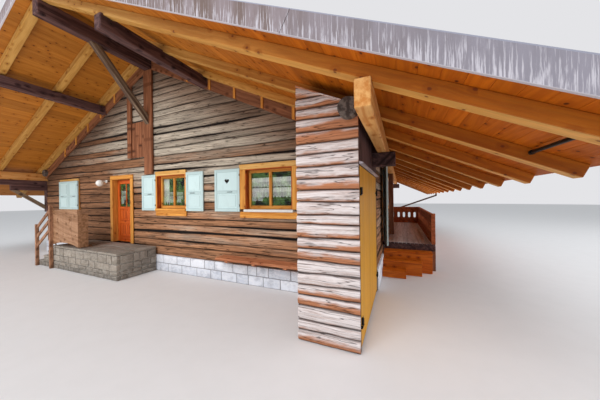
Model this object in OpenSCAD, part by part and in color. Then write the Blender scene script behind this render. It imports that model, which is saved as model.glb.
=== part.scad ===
// Alpine chalet with hewn timber walls, a wide boarded roof and a side deck, in millimetres.
// The gable front faces -Y. The origin is on the ground, under the middle of the roof.

/* [House body] */
// Width of the house across the gable front, over the outside faces
house_w = 11800; // [9800:100:14200]
// Depth of the house from the front wall to the rear wall, over the outside faces
house_d = 10600; // [8800:100:12800]
// Thickness of the timber walls
wall_t = 200; // [160:10:240]
// Height of the stone plinth above the ground
plinth_h = 420; // [340:10:510]
// How far the plinth stands out from the timber above it
plinth_step = 30; // [10:5:60]
// Thickness of the plinth masonry
plinth_t = 360; // [300:10:430]
// Height of the built floor above the ground
floor_z = 640; // [580:10:680]
// Mean height of one hewn timber in the walls
course_h = 205; // [170:5:250]
// Depth of the shadow groove between two timbers
groove_d = 24; // [10:2:35]
// Height of the shadow groove between two timbers
groove_h = 12; // [4:1:20]

/* [Roof] */
// Rise of the roof for each unit of run
roof_slope = 0.47; // [0.39:0.01:0.57]
// Height of the rafters' underside over the outside faces of the side walls
wall_under_z = 3007; // [2980:1:3500]
// Reach of the rafters beyond the side walls, measured level
eave_reach = 2100; // [1750:10:2600]
// Distance between two rafters over the house
rafter_pitch = 950; // [780:10:1150]
// Width of a rafter
rafter_w = 140; // [100:5:170]
// Depth of a rafter, square to the slope
rafter_h = 130; // [100:5:160]
// Distance from the outermost rafter to the verge board
verge_set = 200; // [120:10:260]
// Thickness of the soffit boarding
boarding_t = 25; // [18:1:40]
// Thickness of the roof covering with its battens
covering_t = 150; // [120:5:180]
// Thickness of the verge boards
verge_t = 30; // [20:2:45]
// Height of the verge boards, measured plumb
verge_h = 250; // [190:5:300]

/* [Purlins and posts] */
// Width of the ridge purlin
ridge_purlin_w = 200; // [150:10:240]
// Height of the ridge purlin
ridge_purlin_h = 300; // [240:10:360]
// Distance of an intermediate purlin from the ridge line
mid_purlin_x = 2070; // [1700:10:2500]
// Width of an intermediate purlin
mid_purlin_w = 170; // [130:10:210]
// Height of an intermediate purlin
mid_purlin_h = 240; // [190:10:290]
// Gap from a side wall's outside face to the eave purlin
eave_purlin_gap = 90; // [60:10:150]
// Width of an eave purlin
eave_purlin_w = 145; // [110:5:180]
// Height of an eave purlin
eave_purlin_h = 260; // [210:10:310]
// Radius of the round log that tops each side wall
plate_r = 125; // [100:5:150]
// How far the purlins' tops are let into the rafters
notch = 30; // [15:5:45]
// Width of the post in the middle of the gable
post_w = 320; // [250:10:380]
// How far the gable posts stand out from the wall
post_out = 60; // [40:5:90]
// Height at which the middle post starts
post_foot_z = 2600; // [2500:20:3000]

/* [Windows] */
// Height of the underside of every window
window_sill_z = 1660; // [1500:20:1800]
// Height of every window opening
window_h = 880; // [740:20:1040]
// Width of a large window opening
window_w = 1140; // [940:20:1240]
// Width of the window beside the entrance
small_window_w = 1060; // [900:20:1100]
// Distance from the left corner to the centre of the first front window
window_left_in = 1680; // [1500:20:2000]
// Centre of the small front window
window_mid_x = 830; // [780:10:1000]
// Distance from the corner store to the centre of the front window beside it
window_right_in = 1360; // [1200:20:1600]
// Centre of the window over the deck, behind the front wall
deck_window_y = 5500; // [5450:20:5900]
// Height of a window shutter
shutter_h = 970; // [800:10:1150]
// Thickness of a shutter
shutter_t = 35; // [25:1:45]
// Width of the casing board beside a large window
casing_w = 150; // [110:5:170]
// Width of the casing board beside a small window
small_casing_w = 40; // [30:2:48]
// Thickness of the casing boards
casing_t = 30; // [20:1:40]
// Width of the sash frame bars
sash_bar = 65; // [50:5:80]
// Thickness of the glass
glass_t = 6; // [4:1:10]

/* [Entrance] */
// Centre of the entrance door along the front
entrance_x = -1275; // [-1500:25:-1100]
// Clear width of the entrance door
entrance_w = 850; // [720:10:980]
// Clear height of the entrance door
entrance_h = 1880; // [1700:20:2080]
// Thickness of the lining in a doorway
lining_t = 50; // [35:5:65]
// Thickness of a door leaf
leaf_t = 45; // [36:1:55]
// Running gap round a door leaf
door_gap = 8; // [7:0.5:10]
// Left end of the entrance landing
landing_x0 = -2720; // [-3000:20:-2500]
// Right end of the entrance landing
landing_x1 = 280; // [100:20:400]
// Depth of the entrance landing from the wall
landing_d = 1000; // [850:20:1200]
// Number of risers up to the entrance landing
landing_risers = 4; // [3:1:5]
// Going of one entrance step
landing_going = 280; // [235:5:335]

/* [Corner store] */
// Width of the store that stands out at the right front corner
store_w = 760; // [630:10:920]
// How far the store stands out in front of the house
store_d = 1450; // [1250:25:1700]
// How far the store reaches back into the house
store_back = 700; // [600:20:840]
// Height of one half-round log slab on the store
slab_h = 153; // [130:1:180]
// Thickness of the boards behind the log slabs
store_core_t = 50; // [40:2:60]
// Thickness of a log slab
slab_t = 50; // [35:1:60]
// Height of the head of the store doorway
store_head_z = 2290; // [2000:10:2400]
// Height of the foot of the store doors
store_foot_z = 50; // [30:5:80]

/* [Deck] */
// Height of the deck boards' top above the ground
deck_z = 680; // [600:10:760]
// Start of the deck behind the front wall
deck_y0 = 2500; // [2300:50:2600]
// Length of the deck
deck_l = 5600; // [4600:100:6600]
// Width of the deck out from the wall
deck_w = 1250; // [1100:10:1450]
// Thickness of the deck boards
deck_board_t = 40; // [30:2:50]
// Height of the deck's parapet
parapet_h = 750; // [625:10:950]
// Going of one deck step
deck_going = 300; // [260:10:340]
// Start of the deck door behind the front wall
deck_door_y0 = 2680; // [2640:20:2800]
// Clear width of the deck door
deck_door_w = 750; // [650:10:850]
// Clear height of the deck door
deck_door_h = 1960; // [1800:20:2050]

/* [Hidden] */

seat = 0.3;
half_w = house_w / 2;
inner_w = half_w - wall_t;
store_x = half_w - store_w;
window_left_x = window_left_in - half_w;
window_right_x = store_x - window_right_in;
eave_run = half_w + eave_reach;
ridge_under_z = wall_under_z + roof_slope * half_w;
cos_slope = 1 / sqrt(1 + roof_slope * roof_slope);
rafter_v = rafter_h / cos_slope;
boarding_v = boarding_t / cos_slope;
covering_v = covering_t / cos_slope;
trim_t = 40;
trim_drop = 260;
rafter_zone = house_d + 2 * trim_t + rafter_w;
rafter_bays = round(rafter_zone / rafter_pitch);
rafter_step = rafter_zone / rafter_bays;
roof_mid_y = house_d / 2;

// Underside of the rafters at a distance from the ridge line.
function rafter_z(x) = ridge_under_z - roof_slope * abs(x);
// Front face of a rafter. Number 0 stands just in front of the front wall.
function rafter_y(i) = i * rafter_step - rafter_w - trim_t;

verge_front = rafter_y(-2) - verge_set;
verge_rear = house_d - verge_front;
purlin_front = rafter_y(-2) - 40;
purlin_rear = house_d - purlin_front;
eave_edge = eave_run + 40;
covering_edge = eave_edge + 30;

ridge_purlin_top = rafter_z(ridge_purlin_w / 2) + notch;
mid_purlin_top = rafter_z(mid_purlin_x + mid_purlin_w / 2) + notch;
eave_purlin_x = half_w + eave_purlin_gap + eave_purlin_w / 2;
eave_purlin_top = rafter_z(eave_purlin_x + eave_purlin_w / 2) + notch;
eave_purlin_under = eave_purlin_top - eave_purlin_h;
plate_x = half_w - wall_t / 2;
plate_z = rafter_z(plate_x) - plate_r / cos_slope + notch;
// The right plate log runs out over the corner store, and the left one ends near the wall.
plate_fronts = [-120, -store_d - 100];
plate_rear = house_d + 320;

// Heights of the hewn timbers follow this uneven rhythm, as shares of the mean height.
course_rhythm = [1.05, 0.86, 1.14, 0.95, 0.80, 1.18, 0.92, 1.22, 0.84, 1.04];
// Faces of the hewn timbers stand back by these small amounts, in turn.
course_insets = [0, 5, 2, 8, 0, 4, 9, 1, 6, 3];
function sum_to(i) = i <= 0 ? 0 : course_rhythm[(i - 1) % 10] + sum_to(i - 1);
function course_z(i) = plinth_h + course_h * sum_to(i);

// Windows of each wall: distance of the centre along it, width and width of the casing.
function large_at(x) = [x, window_w, casing_w];
function small_at(x) = [x, small_window_w, small_casing_w];
front_windows = [large_at(window_left_x), small_at(window_mid_x), large_at(window_right_x)];
side_windows = [for (share = [0.2, 0.5, 0.8]) large_at(house_d * share)];
deck_windows = [large_at(deck_window_y), small_at(house_d - wall_t - 1150)];
rear_windows = [large_at(house_w * 0.2), small_at(house_w * 0.5), large_at(house_w * 0.8)];

entrance_open_w = entrance_w + 2 * lining_t;
entrance_head_z = floor_z + entrance_h;
entrance_open_z = entrance_head_z + lining_t;
deck_open_y0 = deck_door_y0 - lining_t;
deck_open_y1 = deck_door_y0 + deck_door_w + lining_t;
deck_head_z = deck_z + deck_door_h;
deck_open_z = deck_head_z + lining_t;
// Width of the casing boards round the deck door.
deck_board_w = 60;

// Door hinges: a fixed pin turns in a barrel on the leaf.
pin_r = 8;
barrel_r = 16;
barrel_l = 90;
ear_h = 14;
pin_gap = 0.1;
// Distance from the pin's axis to the jamb beside it.
pin_in = 22;
hinge_shares = [0.14, 0.86];

// Moves the building so that the middle of its roof is over the origin.
module placed() {
    translate([0, -roof_mid_y, 0]) children();
}

// Extrudes an outline drawn in X and Z along Y.
module along_y(y0, y1) {
    translate([0, y1, 0]) rotate([90, 0, 0]) linear_extrude(y1 - y0) children();
}

// Extrudes an outline drawn in Y and Z along X.
module along_x(x0, x1) {
    translate([x0, 0, 0]) rotate([90, 0, 90]) linear_extrude(x1 - x0) children();
}

// Box between two corners.
module block(low, high) {
    translate(low) cube(high - low);
}

// Puts a wall's own frame on each side: X runs along it as seen from outside, and Y runs inward.
module on_left() {
    translate([-half_w, house_d, 0]) rotate([0, 0, -90]) children();
}
module on_right() {
    translate([half_w, 0, 0]) rotate([0, 0, 90]) children();
}
module on_rear() {
    translate([half_w, house_d, 0]) rotate([0, 0, 180]) children();
}

// Outline of one roof slope between two heights above the rafters' underside.
module slope_band(low, high, x0, x1) {
    polygon([[x0, rafter_z(x0) + low], [x1, rafter_z(x1) + low],
        [x1, rafter_z(x1) + high], [x0, rafter_z(x0) + high]]);
}

// Outline of everything under the roof boarding, for cutting the gables.
module under_boarding() {
    top = rafter_v - seat;
    polygon([[-eave_run, 0], [eave_run, 0], [eave_run, rafter_z(eave_run) + top],
        [0, rafter_z(0) + top], [-eave_run, rafter_z(eave_run) + top]]);
}

module ridge_purlin_outline() {
    translate([-ridge_purlin_w / 2, ridge_purlin_top - ridge_purlin_h])
        square([ridge_purlin_w, ridge_purlin_h]);
}

module mid_purlin_outline() {
    translate([mid_purlin_x - mid_purlin_w / 2, mid_purlin_top - mid_purlin_h])
        square([mid_purlin_w, mid_purlin_h]);
}

module eave_purlin_outline() {
    translate([eave_purlin_x - eave_purlin_w / 2, eave_purlin_under])
        square([eave_purlin_w, eave_purlin_h]);
}

// The round log on the left wall, side -1, or on the right wall, side 1.
module plate_log(side, grow = 0) {
    front = plate_fronts[(side + 1) / 2];
    translate([side * plate_x, front, plate_z])
        rotate([-90, 0, 0]) cylinder(r = plate_r + grow, h = plate_rear - front, $fn = 48);
}

module purlins() {
    color("saddlebrown") placed() {
        along_y(purlin_front, purlin_rear) ridge_purlin_outline();
        for (side = [0, 1]) mirror([side, 0, 0])
            along_y(purlin_front, purlin_rear) mid_purlin_outline();
    }
}

module eave_purlins() {
    color("burlywood") placed()
        for (side = [0, 1]) mirror([side, 0, 0])
            along_y(purlin_front, purlin_rear) eave_purlin_outline();
}

module wall_plates() {
    color("dimgray") placed() for (side = [-1, 1]) plate_log(side);
}

// Everything that passes through the walls, for cutting their pockets.
module pockets() {
    along_y(purlin_front, purlin_rear) {
        ridge_purlin_outline();
        mid_purlin_outline();
        mirror([1, 0]) mid_purlin_outline();
    }
    for (side = [-1, 1]) plate_log(side, seat);
}

// Hewn timbers laid on each other, with their outside face at Y = 0.
module timber_wall(x0, x1, z0, z1) {
    shown = [for (i = [0 : 40]) if (course_z(i + 1) > z0 + groove_h && course_z(i) < z1 - groove_h) i];
    intersection() {
        block([x0, 0, z0], [x1, wall_t, z1]);
        union() {
            block([x0, groove_d, z0], [x1, wall_t - groove_d, z1]);
            for (i = shown)
                block([x0, course_insets[i % 10], course_z(i) + groove_h / 2],
                    [x1, wall_t - course_insets[i % 10], course_z(i + 1) - groove_h / 2]);
        }
    }
}

// Openings of a row of windows, in a wall's own frame.
module window_holes(row) {
    for (place = row)
        block([place[0] - place[1] / 2, -1, window_sill_z],
            [place[0] + place[1] / 2, wall_t + 1, window_sill_z + window_h]);
}

module stone_plinth() {
    out = plinth_step;
    color("darkgray") placed() difference() {
        block([-half_w - out, -out, 0], [half_w + out, house_d + out, plinth_h]);
        difference() {
            block([-half_w - out + plinth_t, plinth_t - out, -1],
                [half_w + out - plinth_t, house_d + out - plinth_t, plinth_h + 1]);
            block([store_x - plinth_t, -1, -2], [half_w + 1, store_back + plinth_t, plinth_h + 2]);
        }
        block([store_x, -1, -1], [half_w + out + 1, store_back, plinth_h + 1]);
        block([store_x - slab_t - seat, -store_d, -1], [half_w + out + 1, 0, plinth_h + 1]);
    }
}

module ground_floor() {
    color("peru") placed() difference() {
        block([-inner_w, wall_t, plinth_h], [inner_w, house_d - wall_t, floor_z]);
        block([store_x, 0, 0], [half_w, store_back, floor_z + 1]);
    }
}

module front_wall_left() {
    color("sienna") placed() difference() {
        timber_wall(-half_w, entrance_x - entrance_open_w / 2, plinth_h, entrance_open_z);
        window_holes([front_windows[0]]);
    }
}

module front_wall_right() {
    color("sienna") placed() difference() {
        timber_wall(entrance_x + entrance_open_w / 2, store_x, plinth_h, entrance_open_z);
        window_holes([front_windows[1], front_windows[2]]);
    }
}

module front_gable() {
    color("sienna") placed() difference() {
        intersection() {
            timber_wall(-half_w, store_x, entrance_open_z, ridge_under_z + rafter_v);
            along_y(0, wall_t) under_boarding();
        }
        pockets();
        window_holes(front_windows);
    }
}

module left_wall() {
    color("sienna") placed() difference() {
        on_left() difference() {
            timber_wall(wall_t, house_d - wall_t, plinth_h, plate_z - plate_r / 2);
            window_holes(side_windows);
        }
        plate_log(-1, seat);
    }
}

module right_wall_near() {
    color("sienna") placed()
        on_right() timber_wall(store_back, deck_open_y0, plinth_h, deck_open_z);
}

module right_wall_far() {
    color("sienna") placed() on_right() difference() {
        timber_wall(deck_open_y1, house_d - wall_t, plinth_h, deck_open_z);
        window_holes(deck_windows);
    }
}

module right_wall_upper() {
    color("sienna") placed() difference() {
        on_right() timber_wall(store_back, house_d - wall_t, deck_open_z, plate_z - plate_r / 2);
        plate_log(1, seat);
    }
}

module rear_wall() {
    color("sienna") placed() difference() {
        intersection() {
            on_rear() timber_wall(0, house_w, plinth_h, ridge_under_z + rafter_v);
            along_y(house_d - wall_t, house_d) under_boarding();
        }
        pockets();
        on_rear() window_holes(rear_windows);
    }
}

// Outline of a rafter with its seats, and with its tip cut square to its length.
module rafter_outline(on_plate) {
    tip_x = eave_run - rafter_h * roof_slope * cos_slope;
    difference() {
        polygon([[0, rafter_z(0)], [tip_x, rafter_z(tip_x)],
            [eave_run, rafter_z(eave_run) + rafter_v], [0, rafter_z(0) + rafter_v]]);
        ridge_purlin_outline();
        mid_purlin_outline();
        eave_purlin_outline();
        if (on_plate) translate([plate_x, plate_z]) circle(r = plate_r + seat, $fn = 48);
    }
}

module rafter_row(plate_front) {
    for (i = [-2 : rafter_bays + 2]) {
        y = rafter_y(i);
        along_y(y, y + rafter_w)
            rafter_outline(y + rafter_w > plate_front && y < plate_rear);
    }
}

module rafters_right() {
    color("peru") placed() rafter_row(plate_fronts[1]);
}

module rafters_left() {
    color("peru") placed() mirror([1, 0, 0]) rafter_row(plate_fronts[0]);
}

module boarding_slope() {
    along_y(verge_front + verge_t, verge_rear - verge_t)
        slope_band(rafter_v, rafter_v + boarding_v, 0, eave_edge);
}

module roof_boarding_right() {
    color("sandybrown") placed() boarding_slope();
}

module roof_boarding_left() {
    color("sandybrown") placed() mirror([1, 0, 0]) boarding_slope();
}

// Outline of the covering: each course of slabs steps down over the one below it.
module covering_outline() {
    courses = 20;
    lap = 14;
    run = covering_edge / courses;
    low = rafter_v + boarding_v;
    polygon(concat([[0, rafter_z(0) + low]], [[courses * run, rafter_z(courses * run) + low]],
        [for (i = [courses : -1 : 1]) each [
            [i * run, rafter_z(i * run) + low + covering_v],
            [(i - 1) * run, rafter_z((i - 1) * run) + low + covering_v - lap]]]));
}

module covering_slope() {
    along_y(verge_front + verge_t, verge_rear - verge_t) covering_outline();
}

module roof_covering_right() {
    color("slategray") placed() covering_slope();
}

module roof_covering_left() {
    color("slategray") placed() mirror([1, 0, 0]) covering_slope();
}

module ridge_cap() {
    low = rafter_v + boarding_v + covering_v;
    reach = 230;
    color("slategray") placed() along_y(verge_front + verge_t, verge_rear - verge_t)
        polygon([[-reach, rafter_z(reach) + low + seat], [0, rafter_z(0) + low + seat],
            [reach, rafter_z(reach) + low + seat], [reach, rafter_z(reach) + low + 22],
            [0, rafter_z(0) + low + 26], [-reach, rafter_z(reach) + low + 22]]);
}

module verge_outline() {
    low = rafter_v;
    polygon([[-eave_edge, rafter_z(eave_edge) + low], [0, rafter_z(0) + low],
        [eave_edge, rafter_z(eave_edge) + low], [eave_edge, rafter_z(eave_edge) + low + verge_h],
        [0, rafter_z(0) + low + verge_h], [-eave_edge, rafter_z(eave_edge) + low + verge_h]]);
}

module verge_boards() {
    color("gray") placed() {
        along_y(verge_front, verge_front + verge_t) verge_outline();
        along_y(verge_rear - verge_t, verge_rear) verge_outline();
    }
}

// Board along the rake that closes the gap between the wall and the rafter in front of it, with
// upright cleats over its joints.
module trim_side(x1) {
    cleats = 5;
    cleat_w = 60;
    cleat_t = 20;
    along_y(-trim_t, 0) slope_band(-trim_drop, rafter_v - seat, post_w / 2 + seat, x1);
    for (i = [0 : cleats - 1]) {
        x = house_w * (0.125 + 0.0616 * i);
        along_y(-trim_t - cleat_t, -trim_t) slope_band(15 - trim_drop, -seat, x, x + cleat_w);
    }
}

module gable_trim() {
    color("peru") placed() difference() {
        union() {
            trim_side(store_x - slab_t - seat);
            mirror([1, 0, 0]) trim_side(half_w);
        }
        pockets();
    }
}

module gable_posts() {
    side_post_w = 165;
    top = ridge_purlin_top - ridge_purlin_h;
    side_x = -820;
    color("sienna") placed() {
        block([-post_w / 2, -post_out, post_foot_z], [post_w / 2, 0, top]);
        difference() {
            block([side_x - side_post_w / 2, -post_out, post_foot_z + 500],
                [side_x + side_post_w / 2, 0, top]);
            along_y(-post_out - 1, 1) slope_band(-trim_drop - seat, 999, -1500, 0);
        }
    }
}

module gable_boarding() {
    color("firebrick") placed() for (i = [0 : 3])
        block([-730 + i * 142, -22, post_foot_z + 500], [-730 + i * 142 + 138, 0, post_foot_z + 1500]);
}

// Struts, each an outline in Y and Z with a level seat above and a plumb seat below.
module strut(x0, x1, foot_y, foot_z, head_y, head_z, depth) {
    rise = head_z - foot_z;
    run = foot_y - head_y;
    length = sqrt(rise * rise + run * run);
    level = depth * length / rise;
    plumb = depth * length / run;
    along_x(x0, x1) polygon([[foot_y, foot_z], [foot_y, foot_z + plumb],
        [head_y + level / 2, head_z], [head_y - level / 2, head_z]]);
}

// Under each end of the left eave purlin lie a long and a short corbel, over a strut.
corbel_h = 185;
corbel_reaches = [1500, 860];

module roof_braces() {
    purlin_under = ridge_purlin_top - ridge_purlin_h;
    brace_rise = 1500;
    strut_rise = 700;
    head_z = eave_purlin_under - 2 * corbel_h;
    color("saddlebrown") placed() {
        strut(-65, 65, -post_out, purlin_under - brace_rise, -1250, purlin_under, 150);
        for (side = [0, 1]) translate([0, side * house_d, 0]) mirror([0, side, 0])
            strut(-eave_purlin_x - 55, -eave_purlin_x + 55, 0, head_z - strut_rise,
                90 - corbel_reaches[1], head_z, 110);
    }
}

// Blocks on the side walls that carry the eave purlins. On the left they hold the corbels too.
module purlin_supports() {
    arm_h = 230;
    reach = 380;
    post = 140;
    half_t = 60;
    foot_z = eave_purlin_under - 1166;
    color("saddlebrown") placed() for (side = [0, 1]) translate([0, side * house_d, 0])
        mirror([0, side, 0]) {
            block([half_w, 0, eave_purlin_under - arm_h], [half_w + reach, wall_t, eave_purlin_under]);
            block([-eave_purlin_x - half_t, 0, foot_z],
                [-half_w, post, eave_purlin_under - 2 * corbel_h]);
            for (i = [0, 1])
                block([-eave_purlin_x - half_t, -corbel_reaches[i], eave_purlin_under - (i + 1) * corbel_h],
                    [-eave_purlin_x + half_t, post, eave_purlin_under - i * corbel_h]);
        }
}

// Half-round gutter along the edge of one covering, with the spigot that its downpipe takes.
gutter_r = 68;
gutter_x = covering_edge + gutter_r + seat;
gutter_z = rafter_z(covering_edge) + rafter_v + boarding_v + covering_v - 30;
pipe_r = 40;
pipe_y = house_d - 60;
spigot_z = gutter_z - gutter_r - 60;

module gutter_side() {
    wall = 4;
    difference() {
        union() {
            translate([gutter_x, verge_front, gutter_z]) rotate([-90, 0, 0])
                cylinder(r = gutter_r, h = verge_rear - verge_front, $fn = 32);
            translate([gutter_x, pipe_y, spigot_z])
                cylinder(r = pipe_r - wall, h = gutter_z - spigot_z - gutter_r / 2, $fn = 24);
        }
        translate([gutter_x, verge_front - 1, gutter_z]) rotate([-90, 0, 0])
            cylinder(r = gutter_r - wall, h = verge_rear - verge_front + 2, $fn = 32);
        block([gutter_x - gutter_r - 1, verge_front - 1, gutter_z],
            [gutter_x + gutter_r + 1, verge_rear + 1, gutter_z + gutter_r + 1]);
    }
}

module gutters() {
    color("dimgray") placed() for (side = [0, 1]) mirror([side, 0, 0]) gutter_side();
}

// Pipe from the gutter back to the wall and down it, held by two clips.
module downpipe_side() {
    elbow_z = spigot_z - 190;
    foot_x = half_w + pipe_r + 60;
    slant_z = 1180;
    clip_h = 24;
    elbow_r = pipe_r + 3;
    length = norm([gutter_x - foot_x, elbow_z - slant_z]);
    tilt = atan2(gutter_x - foot_x, elbow_z - slant_z);
    translate([gutter_x, pipe_y, elbow_z]) {
        cylinder(r = pipe_r, h = spigot_z - elbow_z, $fn = 24);
        sphere(r = elbow_r, $fn = 24);
    }
    translate([foot_x, pipe_y, slant_z]) {
        rotate([0, tilt, 0]) cylinder(r = pipe_r, h = length, $fn = 24);
        sphere(r = elbow_r, $fn = 24);
    }
    translate([foot_x, pipe_y, 0]) cylinder(r = pipe_r, h = slant_z, $fn = 24);
    for (clip_z = [500, 1000])
        block([half_w, pipe_y - clip_h / 2, clip_z], [foot_x, pipe_y + clip_h / 2, clip_z + clip_h]);
}

module downpipes() {
    color("dimgray") placed() for (side = [0, 1]) mirror([side, 0, 0]) downpipe_side();
}

// One window in a wall's own frame, at the origin of its opening's lower middle.
module sash_frame(w) {
    depth = 60;
    set_in = 90;
    pane_w = (w - 3 * sash_bar) / 2;
    difference() {
        block([-w / 2, set_in, window_sill_z], [w / 2, set_in + depth, window_sill_z + window_h]);
        for (side = [-1, 1]) translate([side * (pane_w + sash_bar) / 2 - pane_w / 2, set_in - 1,
            window_sill_z + sash_bar]) cube([pane_w, depth + 2, window_h - 2 * sash_bar]);
    }
}

module panes(w) {
    pane_w = (w - 3 * sash_bar) / 2;
    for (side = [-1, 1]) translate([side * (pane_w + sash_bar) / 2 - pane_w / 2, 117,
        window_sill_z + sash_bar]) cube([pane_w, glass_t, window_h - 2 * sash_bar]);
}

// Boards round a window: a frame with a thicker head and a sill that stands out.
module casing(w, side_w, sill_out) {
    sill_drop = 190;
    head = 110;
    head_t = casing_t + 12;
    sill_h = 55;
    reach = w / 2 + side_w;
    difference() {
        union() {
            block([-reach, -casing_t, window_sill_z - sill_drop],
                [reach, 0, window_sill_z + window_h + head]);
            block([-reach, -head_t, window_sill_z + window_h + 45],
                [reach, 0, window_sill_z + window_h + head]);
            block([-w / 2 - 30, -sill_out, window_sill_z - sill_h], [w / 2 + 30, 0, window_sill_z]);
        }
        block([-w / 2, -head_t - 1, window_sill_z], [w / 2, 1, window_sill_z + window_h]);
    }
}

// A shutter leaf with two sunk fields and, on some, a heart cut through the upper one.
module shutter_leaf(w, has_heart = false, h = shutter_h) {
    stile = 62;
    sunk = 8;
    field_h = (h - 3 * stile) / 2;
    difference() {
        cube([w, shutter_t, h]);
        for (z = [stile, 2 * stile + field_h])
            translate([stile, -1, z]) cube([w - 2 * stile, sunk + 1, field_h]);
        if (has_heart) translate([w / 2, -1, h - stile - field_h * 0.42]) {
            for (side = [-1, 1]) translate([side * 17, 0, 14]) rotate([-90, 0, 0])
                cylinder(r = 24, h = shutter_t + 2, $fn = 24);
            translate([0, 0, -6]) rotate([-90, 45, 0]) translate([-20, -20, 0])
                cube([40, 40, shutter_t + 2]);
        }
    }
}

function shutter_z() = window_sill_z + (window_h - shutter_h) / 2 - 10;

// A pair of shutters in a wall's own frame: shut, or open flat on the wall. The right leaf may
// stand off the wall by an angle, with its edge against the casing.
module shutter_pair(w, side_w, is_open, has_heart, off_wall = 0) {
    hinge_x = w / 2 + side_w + 3;
    leaf = hinge_x - 5;
    edge_x = off_wall > 0 ? w / 2 + side_w + seat : hinge_x;
    edge_y = off_wall > 0 ? max(casing_t, shutter_t * cos(off_wall) + seat) : shutter_t;
    if (is_open) {
        translate([-hinge_x - leaf, -shutter_t, shutter_z()]) shutter_leaf(leaf, has_heart);
        translate([edge_x, -edge_y, shutter_z()]) rotate([0, 0, -off_wall])
            shutter_leaf(leaf, has_heart);
    }
    if (!is_open) for (x = [-leaf - 2, 2])
        translate([x, -casing_t - shutter_t, shutter_z()]) shutter_leaf(leaf);
}

// Puts one piece at every window: the front, left, right and rear walls in turn.
// The sill of the window that is shut ends flush behind its shutters.
module at_windows(kind) {
    for (place = front_windows) translate([place[0], 0, 0]) window_piece(kind, place);
    on_left() for (place = side_windows) translate([place[0], 0, 0]) window_piece(kind, place);
    on_right() for (place = deck_windows) translate([place[0], 0, 0]) window_piece(kind, place);
    on_rear() for (place = rear_windows) translate([place[0], 0, 0]) window_piece(kind, place);
}

module window_piece(kind, place) {
    if (kind == "frame") sash_frame(place[1]);
    if (kind == "glass") panes(place[1]);
    if (kind == "casing") casing(place[1], place[2], place[0] == window_left_x ? casing_t : 62);
}

module window_frames() {
    color("chocolate") placed() at_windows("frame");
}

module window_glass() {
    color("lightblue") placed() at_windows("glass");
}

module window_casings() {
    color("chocolate") placed() at_windows("casing");
}

// The deck door's shutter stands open, a little off the wall, with its edge against the casing.
// It ends just below the eave purlin.
module deck_door_shutter() {
    off_wall = 10;
    foot_z = deck_z + 20;
    top_z = eave_purlin_under - 6.5;
    leaf = deck_door_w + 20;
    edge_x = deck_door_y0 - lining_t - deck_board_w - seat;
    on_right() translate([edge_x, -shutter_t * cos(off_wall) - seat, foot_z])
        mirror([1, 0, 0]) rotate([0, 0, -off_wall]) shutter_leaf(leaf, false, top_z - foot_z);
}

module window_shutters() {
    room = store_x - slab_t - 45 - window_right_x - window_w / 2 - casing_w;
    turn = acos(room / (window_w / 2 + casing_w));
    color("honeydew") placed() {
        for (i = [0 : 2]) translate([front_windows[i][0], 0, 0])
            shutter_pair(front_windows[i][1], front_windows[i][2], i > 0, i == 2, i == 2 ? turn : 0);
        on_left() for (place = side_windows) translate([place[0], 0, 0])
            shutter_pair(place[1], place[2], true, true);
        on_right() for (place = deck_windows) translate([place[0], 0, 0])
            shutter_pair(place[1], place[2], true, place[2] == casing_w);
        on_rear() for (place = rear_windows) translate([place[0], 0, 0])
            shutter_pair(place[1], place[2], true, place[2] == casing_w);
        deck_door_shutter();
    }
}

// Lining, threshold and outside casing of a doorway, in a wall's own frame.
module door_surround(x0, w, z0, head_z, board) {
    difference() {
        union() {
            block([x0 - lining_t, 0, plinth_h], [x0 + w + lining_t, wall_t, head_z + lining_t]);
            block([x0 - lining_t - board, -casing_t, z0 + seat],
                [x0 + w + lining_t + board, 0, head_z + lining_t + board]);
        }
        block([x0, -casing_t - 1, z0], [x0 + w, wall_t + 1, head_z]);
    }
}

// Fixed half of the hinges, round an axis at the origin with the jamb at X = -pin_in.
// A hinge for a leaf that opens outward has a plate on the jamb's outside face.
module hinge_pins(z0, h, plate_w = 0) {
    for (share = hinge_shares) translate([0, 0, z0 + h * share - barrel_l / 2]) {
        translate([0, 0, -ear_h]) cylinder(r = pin_r, h = barrel_l + ear_h, $fn = 24);
        block([-pin_in, -pin_r, -ear_h], [0, pin_r, -seat]);
        if (plate_w > 0) block([-pin_in - plate_w, -barrel_r, -ear_h], [-pin_in, pin_r, -seat]);
    }
}

// Moving half of the hinges. The leaf's face lies at Y = -barrel_r and the leaf runs to +X.
module hinge_barrels(z0, h) {
    for (share = hinge_shares) translate([0, 0, z0 + h * share - barrel_l / 2]) {
        cylinder(r = barrel_r, h = barrel_l, $fn = 24);
        block([0, -barrel_r, 0], [barrel_r, 0, barrel_l]);
    }
}

module hinge_bores(z0, h) {
    for (share = hinge_shares) translate([0, 0, z0 + h * share - barrel_l / 2 - 1])
        cylinder(r = pin_r + pin_gap, h = barrel_l + 2, $fn = 24);
}

// A leaf of a given clear width between jamb and jamb or between jamb and meeting line.
module door_leaf(reach, z0, h) {
    difference() {
        union() {
            block([door_gap - pin_in, -barrel_r - leaf_t, z0], [reach - pin_in, -barrel_r, z0 + h]);
            hinge_barrels(z0, h);
        }
        hinge_bores(z0, h);
    }
}

leaf_z0 = floor_z + door_gap;
leaf_h = entrance_h - 2 * door_gap;
entrance_x0 = entrance_x - entrance_w / 2;
leaf_in = 110;

module at_entrance_axis() {
    translate([entrance_x0 + pin_in, leaf_in + leaf_t + barrel_r, 0]) children();
}

module entrance_frame() {
    board = 120;
    color("chocolate") placed() {
        door_surround(entrance_x0, entrance_w, floor_z, entrance_head_z, board);
        at_entrance_axis() hinge_pins(leaf_z0, leaf_h);
    }
}

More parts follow.
